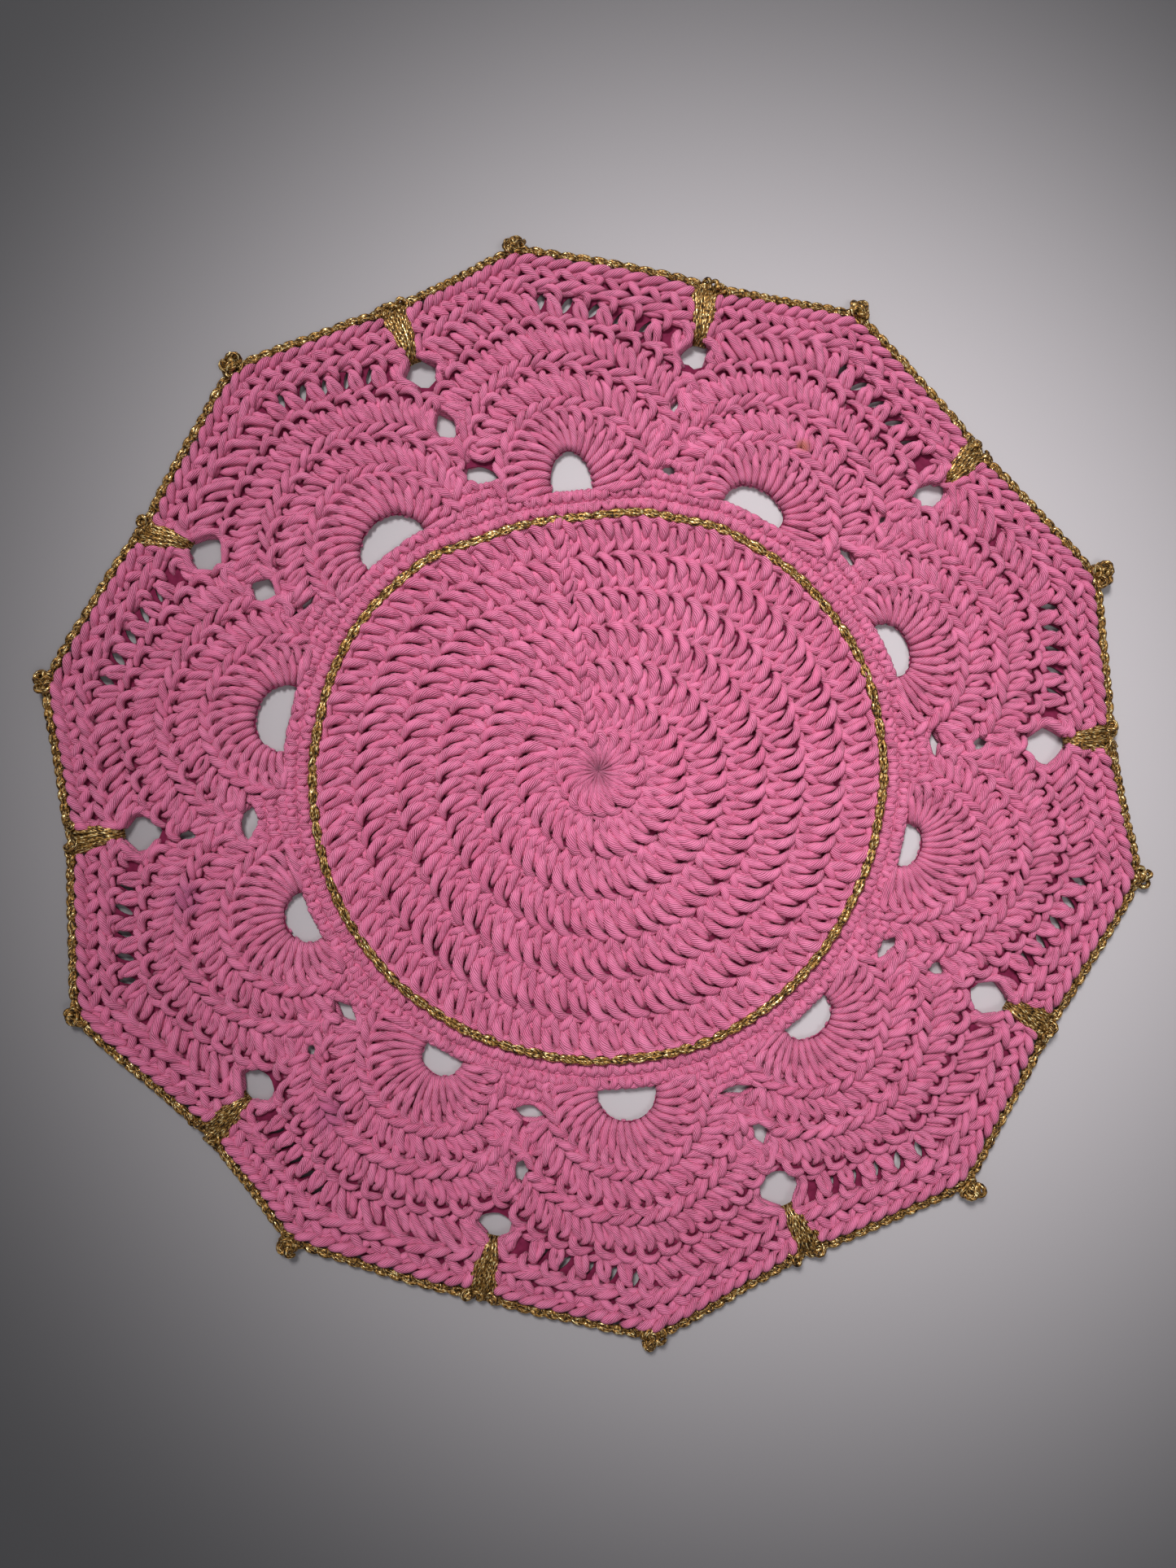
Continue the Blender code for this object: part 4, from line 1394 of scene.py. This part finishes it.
@dataclass(frozen=True)
class Disc:
    """The round middle: seven rounds of double crochet, joined at a slanting seam."""

    counts: tuple[int, ...] = (18, 32, 44, 56, 68, 79, 88)
    borders: tuple[float, ...] = (1.0, 14.2, 26.8, 39.4, 52.0, 64.5, 77.3, 90.0)
    inner_rounds: int = 4
    seam_deg: float = 99.0
    seam_leaf: float = 4.2
    seam_start: float = 9.0
    seam_short: float = 1.0
    seam_half: float = 1.7
    seam_wobble: float = 0.12
    seam_raised: float = 0.7
    drift: float = 1.1
    drift_deg: float = -20.0
    stray: float = 0.06
    brim_in: float = 1.6
    brim_half: float = 1.2
    brim_raised: float = -0.7

    def place(self, turn: np.ndarray, reach: np.ndarray) -> tuple[np.ndarray, np.ndarray]:
        """Lay points, with the rounds' drift to one side and their dip at the seam.

        Args:
            turn: Even turns in degrees.
            reach: Even reaches.

        Returns:
            The laid x and y.
        """
        drift = self.drift * np.cos(np.radians(turn - self.drift_deg))
        drift *= np.interp(reach, (0.0, 20.0, 60.0, 76.0, 88.0), (0.0, 1.0, 1.0, 0.5, 0.0))
        off = (turn - self.seam_deg + 180.0) % 360.0 - 180.0
        dip = np.interp(
            off,
            (-49.0, -39.0, -29.0, -19.0, -9.0, -2.0, 2.0, 11.0, 21.0, 31.0),
            (0.0, 0.5, 1.3, 2.3, 3.2, 3.6, 3.2, 2.1, 0.9, 0.0))
        dip *= np.interp(reach, (5.0, 20.0, 45.0, 76.0, 88.0), (0.0, 0.5, 1.0, 1.0, 0.0))
        return PLAN.on_disc(turn, reach + drift - dip)

    def add_seam(self, yarn: YarnWork, low: float, high: float) -> None:
        """Add the column of leaning leaves where the rounds are joined.

        Args:
            yarn: The work it is added to.
            low: The reach at which it starts.
            high: The reach at which it ends.
        """
        start = max(low, self.seam_start) + self.seam_leaf / 2.0
        reaches = np.arange(start, high - self.seam_short, self.seam_leaf)
        pitch = np.full(len(reaches), self.seam_leaf)

        def place(turn: np.ndarray, reach: np.ndarray) -> tuple[np.ndarray, np.ndarray]:
            """Lay points along the seam, and to its side."""
            return self.place(self.seam_deg + np.degrees(reach / turn), turn)

        work = Round(Stitch.ROPE, reaches, pitch, 0.0, self.seam_half, self.seam_wobble,
                     raised=self.seam_raised)
        yarn.add_round(work, place)

    def work(self, name: str, seed: int, rounds: range) -> YarnWork:
        """Crochet some of the rounds.

        Args:
            name: The piece's name.
            seed: What its small unevenness starts from.
            rounds: Which rounds.

        Returns:
            Their strands.
        """
        yarn = YarnWork(name, seed)
        for index in rounds:
            count = self.counts[index]
            turns, pitch = even_turns(count, self.seam_deg + 360.0 / count / 2.0)
            turns = turns + yarn.chance.normal(0.0, self.stray, count) * pitch
            low, high = self.borders[index], self.borders[index + 1]
            stitch = Stitch.DISC_DOUBLE if index else Stitch.CENTRE
            least = 0.5 if index else 0.3
            yarn.add_round(Round(stitch, turns, pitch, low, high, least=least), self.place)
            yarn.add_round(Round(Stitch.BACK, turns, pitch, low, high), self.place)
        self.add_seam(yarn, self.borders[rounds[0]], self.borders[rounds[-1] + 1])
        if rounds[-1] == len(self.counts) - 1:
            turns, pitch = even_turns(self.counts[-1])
            brim = self.borders[-1] - self.brim_in
            work = Round(Stitch.ROPE, turns, pitch, brim, brim + self.brim_half,
                         raised=self.brim_raised)
            yarn.add_round(work, self.place)
        return yarn

    def build(self, material: bpy.types.Material) -> list[bpy.types.Object]:
        """Build the disc's two pieces.

        Args:
            material: The yarn's finish.

        Returns:
            The pieces made.
        """
        inner = self.work("disc_inner_rounds", 11, range(self.inner_rounds))
        outer = self.work("disc_outer_rounds", 13, range(self.inner_rounds, len(self.counts)))
        return [finish_yarn(yarn, material) for yarn in (inner, outer)]


@dataclass(frozen=True)
class Band:
    """The two rounds of short stitches outside the gold ring, and the arches' corners."""

    count: int = 140
    inner: float = 91.2
    outer: float = 95.4
    brim: float = 99.4
    corner_rows: tuple[tuple[float, float, float, int], ...] = (
        (98.0, 101.6, 9.6, 4), (101.6, 105.2, 8.0, 4), (105.2, 109.4, 7.6, 4))

    def build(self, material: bpy.types.Material) -> list[bpy.types.Object]:
        """Build the band's piece.

        Args:
            material: The yarn's finish.

        Returns:
            The pieces made.
        """
        yarn = YarnWork("band_rounds", seed=23)
        turns, pitch = even_turns(self.count)
        yarn.add_round(Round(Stitch.LEAF_PAIR, turns, pitch, self.inner, self.outer), PLAN.on_disc)
        turns, pitch = even_turns(self.count, 1.0)
        yarn.add_round(Round(Stitch.LEAF_PAIR, turns, pitch, self.outer, self.brim), PLAN.on_disc)
        for index in range(PLAN.count):
            for low, high, half_wide, count in self.corner_rows:
                limit = math.degrees(half_wide / ((low + high) / 2.0))
                turns, pitch = fan_turns(count, limit)
                row = Round(Stitch.LEAF_PAIR, turns + PLAN.valley_turn(index), pitch, low, high)
                yarn.add_round(row, PLAN.on_disc, spare=True)
        return [finish_yarn(yarn, material)]


@dataclass(frozen=True)
class Stretch:
    """Stitches of one kind along a part of a row about an arch."""

    stitch: Stitch
    start_deg: float
    end_deg: float
    count: int

    def turns(self) -> tuple[np.ndarray, np.ndarray]:
        """Spread the stitches evenly.

        Returns:
            Their turns from the tip, and their pitches in degrees.
        """
        pitch = (self.end_deg - self.start_deg) / self.count
        return self.start_deg + (np.arange(self.count) + 0.5) * pitch, np.full(self.count, pitch)


@dataclass(frozen=True)
class Rope:
    """The braid of stitch tops along a row: its reach, half its height, and its leaves."""

    reach: float
    half_high: float
    count: int
    limit: float


@dataclass(frozen=True)
class ArchRow:
    """A row about the arches: the reaches between which it lies, its stitches and its rope."""

    name: str
    low: float
    high: float
    stretches: tuple[Stretch, ...]
    rope: Rope | None


@dataclass(frozen=True)
class ScallopRows:
    """The five rows about each arched opening, with the ropes of stitch tops between them."""

    rows: tuple[ArchRow, ...] = (
        ArchRow("row_arch", 8.6, 23.4, (
            Stretch(Stitch.ARCH_DOUBLE, -106.0, 106.0, 19),), Rope(24.4, 1.45, 17, 98.0)),
        ArchRow("row_second", 25.6, 36.6, (
            Stretch(Stitch.LEANING_PAIR, -88.0, 88.0, 13),), Rope(37.7, 1.75, 20, 74.0)),
        ArchRow("row_third", 39.2, 51.0, (
            Stretch(Stitch.DENSE_DOUBLE, -62.0, 62.0, 15),), None),
        ArchRow("row_open", 51.6, 62.4, (
            Stretch(Stitch.OPEN_LEANING, -51.0, -41.6, 1),
            Stretch(Stitch.OPEN_DOUBLE, -41.6, 2.0, 6),
            Stretch(Stitch.OPEN_LEANING, 2.0, 51.0, 6)), Rope(63.4, 1.6, 17, 49.0)),
        ArchRow("row_rim", 64.9, 69.6, (
            Stretch(Stitch.SINGLE, -45.6, 45.6, 18),), Rope(70.9, 1.6, 22, 45.0)),
    )
    webs: tuple[tuple[float, float], ...] = ((112.0, 124.0), (122.0, 135.0), (141.0, 153.0))
    web_count: int = 3
    web_limit: float = 3.3
    web_wobble: float = 0.09
    web_raised: float = -0.7
    band_room: float = 4.0
    behind: float = 0.02
    unlimited: float = 1000.0

    def arch_place(self, index: int) -> Place:
        """Lay the first row, which the band cuts short beside the opening.

        Args:
            index: Which scallop.

        Returns:
            A function of the turn from the tip and the reach from the arch.
        """
        lay = PLAN.on_scallop(index)

        def place(turn: np.ndarray, reach: np.ndarray) -> tuple[np.ndarray, np.ndarray]:
            """Lay points, none of them inside the band.

            Args:
                turn: Turns from the tip in degrees.
                reach: Reaches from the arch.

            Returns:
                The laid x and y.
            """
            below = -np.cos(np.radians(turn))
            room = self.band_room / np.maximum(below, self.behind)
            most = np.where(below > self.behind, room, self.unlimited)
            return lay(turn, np.minimum(reach, most))

        return place

    def add_webs(self, yarn: YarnWork) -> None:
        """Fill the valleys between the ends of the rows, round their gaps.

        Args:
            yarn: The work the stitches are added to.
        """
        for valley in VALLEYS:
            for low, high in self.webs:
                turns, pitch = fan_turns(self.web_count, self.web_limit)
                work = Round(Stitch.DENSE_DOUBLE, turns + valley.turn_deg, pitch, low, high,
                             wobble=self.web_wobble, raised=self.web_raised)
                yarn.add_round(work, polar, spare=True)

    def build(self, material: bpy.types.Material) -> list[bpy.types.Object]:
        """Build one piece for each row, over all the scallops.

        Args:
            material: The yarn's finish.

        Returns:
            The pieces made.
        """
        pieces = []
        for number, row in enumerate(self.rows):
            yarn = YarnWork(row.name, seed=31 + number)
            for index in range(PLAN.count):
                place = PLAN.on_scallop(index) if number else self.arch_place(index)
                for stretch in row.stretches:
                    turns, pitch = stretch.turns()
                    least = 0.45 if number else 0.6
                    work = Round(stretch.stitch, turns, pitch, row.low, row.high, least=least)
                    yarn.add_round(work, place, spare=True)
                    if stretch.stitch is not Stitch.OPEN_DOUBLE:
                        back = Round(Stitch.BACK, turns, pitch, row.low, row.high)
                        yarn.add_round(back, place, spare=True)
                if row.rope is not None:
                    rope = row.rope
                    turns, pitch = fan_turns(rope.count, rope.limit)
                    work = Round(
                        Stitch.ROPE, turns, pitch, rope.reach, rope.reach + rope.half_high)
                    yarn.add_round(work, place, spare=True)
            if row.rope is None:
                self.add_webs(yarn)
            pieces.append(finish_yarn(yarn, material))
        return pieces


@dataclass(frozen=True)
class Ground:
    """The thin sheet of yarn backs inside the crochet, dark with painted shade between the stitches,
    open at the slots and at the gaps.
    """

    low: float = 1.3
    high: float = 1.9
    pulled_in: float = 0.8
    flat: tuple[float, float] = (0.352, 0.352)
    slot_turns: tuple[float, ...] = (-34.2, -26.6, -19.0, -11.4, -3.9)
    slot_half_deg: float = 1.15
    slot_lean_deg: float = 1.3
    slot_low: float = 54.0
    slot_high: float = 60.4
    slot_sides: int = 14
    slot_clear: float = 2.0
    gap_grow: float = 0.3
    gap_innermost: float = 100.0
    gap_past_notch: float = 4.0
    gap_aside: float = 8.0

    def slot_cutter(self) -> bpy.types.Object:
        """Make the posts that cut the slots and the open places, as one piece.

        Returns:
            The cutter.
        """
        turns = np.arange(self.slot_sides) * math.tau / self.slot_sides
        middle = (self.slot_low + self.slot_high) / 2.0
        rings: list[tuple[np.ndarray, np.ndarray]] = []
        for index in range(PLAN.count):
            place = PLAN.on_scallop(index)
            for slot_turn in self.slot_turns:
                around = slot_turn + self.slot_half_deg * np.cos(turns)
                around = around - self.slot_lean_deg * np.sin(turns)
                reach = middle + (self.slot_high - self.slot_low) / 2.0 * np.sin(turns)
                ring = place(around, reach)
                if outside_gaps(*ring, grow=self.slot_clear).all():
                    rings.append(ring)
        for valley in VALLEYS:
            for gap in valley.gaps:
                way = 1.0 / gap.share(np.cos(turns), np.sin(turns), self.gap_grow)
                edge = gap.valley_place(way * np.cos(turns), way * np.sin(turns))
                rings.append(valley.mat_place(*edge))
        points: list[tuple[float, float, float]] = []
        faces: list[list[int]] = []
        sides = self.slot_sides
        for x, y in rings:
            start = len(points)
            for height in (self.low - 1.0, self.high + 1.0):
                points += [(px * MM, py * MM, height * MM) for px, py in zip(x, y)]
            faces.append([start + side for side in range(sides)])
            faces.append([start + 2 * sides - 1 - side for side in range(sides)])
            for side in range(sides):
                after = (side + 1) % sides
                faces.append([start + side, start + sides + side,
                              start + sides + after, start + after])
        mesh = bpy.data.meshes.new("slot_cutter")
        mesh.from_pydata(points, [], faces)
        shell = bmesh.new()
        shell.from_mesh(mesh)
        bmesh.ops.recalc_face_normals(shell, faces=shell.faces)
        shell.to_mesh(mesh)
        shell.free()
        return add_object("slot_cutter", mesh)

    def cut_slots(self, piece: bpy.types.Object) -> None:
        """Open the slots of the open row and the gaps in the valleys.

        Args:
            piece: The sheet.
        """
        cutter = self.slot_cutter()
        cut = piece.modifiers.new("slots", "BOOLEAN")
        cut.operation = "DIFFERENCE"
        cut.solver = "EXACT"
        cut.use_self = True
        cut.object = cutter
        bpy.ops.object.select_all(action="DESELECT")
        bpy.context.view_layer.objects.active = piece
        piece.select_set(True)
        bpy.ops.object.modifier_apply(modifier=cut.name)
        bpy.data.objects.remove(cutter)

    def at_gap(self, edge: bmesh.types.BMEdge) -> bool:
        """Tell the rims of the frame's gaps from other edges.

        Args:
            edge: An edge of the underside.

        Returns:
            Whether it is on the rim of one of the frame's gaps, which are cut anew here.
        """
        middle = (edge.verts[0].co + edge.verts[1].co) / 2.0 / MM
        if len(edge.link_faces) != 1:
            return False
        for valley in VALLEYS:
            ahead, aside = valley.own(middle.x, middle.y)
            outermost = valley.notch + self.gap_past_notch
            if self.gap_innermost < ahead < outermost and abs(aside) < self.gap_aside:
                return True
        return False

    def outline(self) -> bmesh.types.BMesh:
        """Take the underside of the frame's mat, pulled in a little from its edges.

        Returns:
            A flat mesh.
        """
        sheet = bmesh.new()
        sheet.from_mesh(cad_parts["mat"].data)
        bmesh.ops.remove_doubles(sheet, verts=sheet.verts, dist=2e-6)
        bmesh.ops.recalc_face_normals(sheet, faces=sheet.faces)
        lifted = [face for face in sheet.faces if face.calc_center_median().z > 1e-5]
        bmesh.ops.delete(sheet, geom=lifted, context="FACES")
        rims = [edge for edge in sheet.edges if self.at_gap(edge)]
        bmesh.ops.holes_fill(sheet, edges=rims, sides=0)
        moves: dict[bmesh.types.BMVert, Vector] = {}
        for edge in sheet.edges:
            if len(edge.link_faces) != 1:
                continue
            along = edge.verts[1].co - edge.verts[0].co
            inwards = Vector((-along.y, along.x, 0.0)).normalized()
            third = edge.link_faces[0].calc_center_median() - edge.verts[0].co
            if third.dot(inwards) < 0.0:
                inwards.negate()
            for vert in edge.verts:
                moves[vert] = moves.get(vert, Vector()) + inwards
        for vert, move in moves.items():
            if move.length > 0.1:
                vert.co += move.normalized() * self.pulled_in * MM
        return sheet

    def build(self, material: bpy.types.Material) -> bpy.types.Object:
        """Build the sheet.

        Args:
            material: Its finish.

        Returns:
            The piece.
        """
        sheet = self.outline()
        made = bmesh.ops.extrude_face_region(sheet, geom=list(sheet.faces))
        raised = [item for item in made["geom"] if isinstance(item, bmesh.types.BMVert)]
        for vert in sheet.verts:
            vert.co.z = self.low * MM
        for vert in raised:
            vert.co.z = self.high * MM
        bmesh.ops.recalc_face_normals(sheet, faces=sheet.faces)
        if sheet.calc_volume(signed=True) < 0.0:
            bmesh.ops.reverse_faces(sheet, faces=sheet.faces)
        mesh = bpy.data.meshes.new("crochet_ground_shade")
        sheet.to_mesh(mesh)
        sheet.free()
        piece = add_object("crochet_ground_shade", mesh)
        # Its finish is painted shade, seen between the stitches.
        mesh.materials.append(material)
        self.cut_slots(piece)
        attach(piece, "root")
        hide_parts("mat")
        LOG.info("crochet_ground_shade: %d faces", len(piece.data.polygons))
        return piece

    def area(self, piece: bpy.types.Object) -> float:
        """Measure the sheet's flat area in square metres.

        Args:
            piece: The sheet.

        Returns:
            The area of its upper side.
        """
        return sum(face.area for face in piece.data.polygons if face.normal.z > 0.9)


@dataclass(frozen=True)
class GoldRing:
    """The gold chain worked on the face, along the disc's edge."""

    count: int = 105
    reach: float = 90.0
    unit: float = 1.5

    def build(self, material: bpy.types.Material) -> list[bpy.types.Object]:
        """Build the chain.

        Args:
            material: The gold yarn's finish.

        Returns:
            The pieces made.
        """
        yarn = YarnWork("gold_chain", seed=61)
        turns, pitch = even_turns(self.count)
        row = Round(Stitch.GOLD_LINK, turns, pitch, self.reach, self.reach + self.unit, squeeze=2.0)
        yarn.add_round(row, PLAN.on_disc)
        piece = finish_yarn(yarn, material)
        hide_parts("gold_ring")
        return [piece]


def gold_paths(turn_deg: float, ahead: np.ndarray, aside: np.ndarray, height: np.ndarray,
               middle: tuple[float, float] = (0.0, 0.0)) -> np.ndarray:
    """Lay paths of gold yarn along a turn.

    Args:
        turn_deg: Which way is outwards.
        ahead: How far outwards each step lies.
        aside: How far to the side.
        height: How high.
        middle: Where they are laid from.

    Returns:
        The paths, as strands by steps by three.
    """
    out = np.array(polar(turn_deg, 1.0))
    return np.stack([
        middle[0] + out[0] * ahead - out[1] * aside,
        middle[1] + out[1] * ahead + out[0] * aside,
        height,
    ], axis=-1)


@dataclass(frozen=True)
class GoldEdging:
    """The gold round on the rim: a chain, a fan in each valley and a knot on each tip."""

    links: int = 26
    unit: float = 1.5
    fan_strands: int = 9
    fan_start: float = 1.6
    fan_end: float = 4.7
    fan_tuck: float = 0.3
    fan_short: float = 1.4
    fan_stray: float = 0.05
    fan_flare: float = 1.2
    fan_layer: float = 0.5
    fan_bow: float = 0.35
    fan_full: float = 0.78
    steps: int = 9
    yarn_sides: int = 6
    heap_high: float = 4.2

    def add_chain(self, yarn: YarnWork) -> None:
        """Add the chain along the rim of every scallop.

        Args:
            yarn: The work it is added to.
        """
        reach = PLAN.chain_reach
        limit = PLAN.row_limit(reach)
        for index in range(PLAN.count):
            turns, pitch = fan_turns(self.links, limit)
            row = Round(Stitch.GOLD_EDGE, turns, pitch, reach, reach + self.unit, squeeze=2.0)
            yarn.add_round(row, PLAN.on_scallop(index))

    def add_fan(self, yarn: YarnWork, valley: Valley) -> None:
        """Add the long stitches of one valley.

        Args:
            yarn: The work they are added to.
            valley: Where they lie.
        """
        count = self.fan_strands
        spread = np.linspace(-1.0, 1.0, count)
        spread = spread + yarn.chance.normal(0.0, self.fan_stray, count)
        steps = np.linspace(0.0, 1.0, self.steps)
        start = valley.fan_start - self.fan_tuck
        end = valley.edge - self.fan_short
        reach = start + (end - start) * steps[None, :] + np.zeros((count, 1))
        width = self.fan_start + (self.fan_end - self.fan_start) * steps**self.fan_flare
        aside = spread[:, None] * width[None, :] + valley.fan_aside(reach)
        layer = (np.arange(count) % 2)[:, None]
        rise = np.interp(steps, (0.0, 0.08, 0.25, 0.85, 1.0), (1.4, 3.2, 4.2, 4.0, 2.4))
        height = rise[None, :] + self.fan_layer * layer - self.fan_bow * spread[:, None] ** 2
        paths = gold_paths(valley.turn_deg, reach, aside, height)
        full = self.fan_full * np.interp(steps, (0.0, 0.15, 0.9, 1.0), (0.75, 1.0, 1.0, 0.8))
        full = np.broadcast_to(full, (count, len(steps)))
        yarn.add_paths(paths, full, full, self.yarn_sides)

    def add_curls(self, yarn: YarnWork, middle: tuple[float, float], turn_deg: float,
                  wide: float, deep: float, count: int, high: float) -> None:
        """Add small curled loops, heaped as a knot.

        Args:
            yarn: The work they are added to.
            middle: The heap's middle.
            turn_deg: Which way is outwards.
            wide: Half its width.
            deep: Half its depth.
            count: How many curls there are.
            high: The height of its top.
        """
        chance = yarn.chance
        where = chance.uniform(-0.75, 0.75, (count, 2))
        steps = np.linspace(0.0, 1.0, self.steps)
        start = chance.uniform(0.0, math.tau, (count, 1))
        swing = start + steps[None, :] * chance.uniform(3.4, 4.8, (count, 1))
        radius = chance.uniform(1.1, 1.9, (count, 1))
        aside = where[:, :1] * wide + radius * np.cos(swing)
        ahead = where[:, 1:] * deep + radius * np.sin(swing)
        lift = chance.uniform(0.45, 1.0, (count, 1)) * high
        height = np.maximum(lift - 0.9 * np.cos(steps * math.tau)[None, :] - 0.3, 0.85)
        paths = gold_paths(turn_deg, ahead, aside, height, middle)
        full = np.broadcast_to(np.interp(steps, (0.0, 0.2, 0.8, 1.0), (0.5, 0.8, 0.8, 0.5)),
                               (count, len(steps)))
        yarn.add_paths(paths, full, full, self.yarn_sides)

    def build(self, material: bpy.types.Material) -> list[bpy.types.Object]:
        """Build the chain, the fans and the knots.

        Args:
            material: The gold yarn's finish.

        Returns:
            The pieces made.
        """
        chain = YarnWork("gold_rim_chain", seed=71)
        self.add_chain(chain)
        piece = finish_yarn(chain, material)
        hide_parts("gold_edging")
        fans = YarnWork("gold_fans", seed=73)
        for valley in VALLEYS:
            self.add_fan(fans, valley)
            head = polar(valley.turn_deg, valley.edge - 1.2)
            self.add_curls(fans, head, valley.turn_deg, 7.0, 1.6, 12, self.heap_high)
        knots = YarnWork("gold_knots", seed=79)
        for scallop in SCALLOPS:
            middle = polar(scallop.tip_deg, scallop.knot - 3.4)
            self.add_curls(knots, middle, scallop.tip_deg, 2.9, 2.7, 16, self.heap_high)
        return [piece] + [finish_yarn(work, material) for work in (fans, knots)]


@dataclass(frozen=True)
class Studio:
    """The floor, the soft light and the camera."""

    distance: float = 380.0
    tilt_x_deg: float = -2.26
    tilt_y_deg: float = 1.48
    shift: tuple[float, float] = (3.115, 0.578)
    focal_px: float = 1447.0
    picture_high_px: float = 1927.0
    sensor_mm: float = 36.0
    lamp_size: float = 0.26
    lit_reach: float = 0.345
    bright_spot: tuple[float, float, float] = (0.055, 0.025, 0.0)

    def build_camera(self) -> None:
        """Set the camera where the photograph was taken."""
        turn = Matrix.Rotation(math.radians(self.tilt_x_deg), 3, "X")
        turn = (turn @ Matrix.Rotation(math.radians(self.tilt_y_deg), 3, "Y")).transposed()
        data = bpy.data.cameras.new("camera")
        data.sensor_width = self.sensor_mm
        data.lens = self.focal_px / self.picture_high_px * self.sensor_mm
        data.clip_start = 0.01
        camera = add_object("camera", data)
        spot = turn @ Vector((-self.shift[0], -self.shift[1], self.distance)) * MM
        camera.matrix_world = Matrix.Translation(spot) @ turn.to_4x4()
        bpy.context.scene.camera = camera

    def add_light(self, name: str, place: Vector, power: float) -> None:
        """Add a large soft lamp whose light fades away from the mat's middle.

        Args:
            name: Its name.
            place: Where it hangs, in metres from the brightest spot.
            power: Its power in watts.
        """
        data = bpy.data.lights.new(name, "SPOT")
        data.shadow_soft_size = self.lamp_size
        data.spot_size = 2.0 * math.atan(self.lit_reach / place.length)
        data.spot_blend = 1.0
        data.energy = power
        lamp = add_object(name, data)
        lamp.location = place + Vector(self.bright_spot)
        lamp.rotation_euler = (-place).to_track_quat("-Z", "Y").to_euler()

    def build(self) -> None:
        """Build the surroundings."""
        bpy.ops.mesh.primitive_plane_add(size=3.0, location=(0.0, 0.0, 0.0))
        floor = bpy.context.active_object
        floor.name = "floor"
        floor.data.materials.append(FloorLightPoolFinish().build())
        self.add_light("soft key", Vector((-0.25, 0.68, 1.08)), 90.0)
        self.add_light("soft fill", Vector((0.45, -0.45, 1.15)), 18.0)
        world = bpy.data.worlds.new("studio")
        world.use_nodes = True
        world.node_tree.nodes["Background"].inputs["Color"].default_value = (0.9, 0.93, 1.0, 1.0)
        world.node_tree.nodes["Background"].inputs["Strength"].default_value = 0.20
        bpy.context.scene.world = world
        bpy.context.scene.view_settings.view_transform = "Standard"
        self.build_camera()


def main() -> None:
    logging.basicConfig(level=logging.INFO, format="%(message)s")
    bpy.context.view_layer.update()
    bpy.ops.object.select_all(action="DESELECT")
    Studio().build()
    cotton = CottonFinish().build()
    gold = MetallicFinish().build()
    pieces = []
    pieces += Disc().build(cotton)
    pieces += Band().build(cotton)
    pieces += ScallopRows().build(cotton)
    pieces += GoldRing().build(gold)
    pieces += GoldEdging().build(gold)
    ground = Ground()
    sheet = ground.build(GroundShadeFinish().build())


if __name__ == "__main__":
    main()
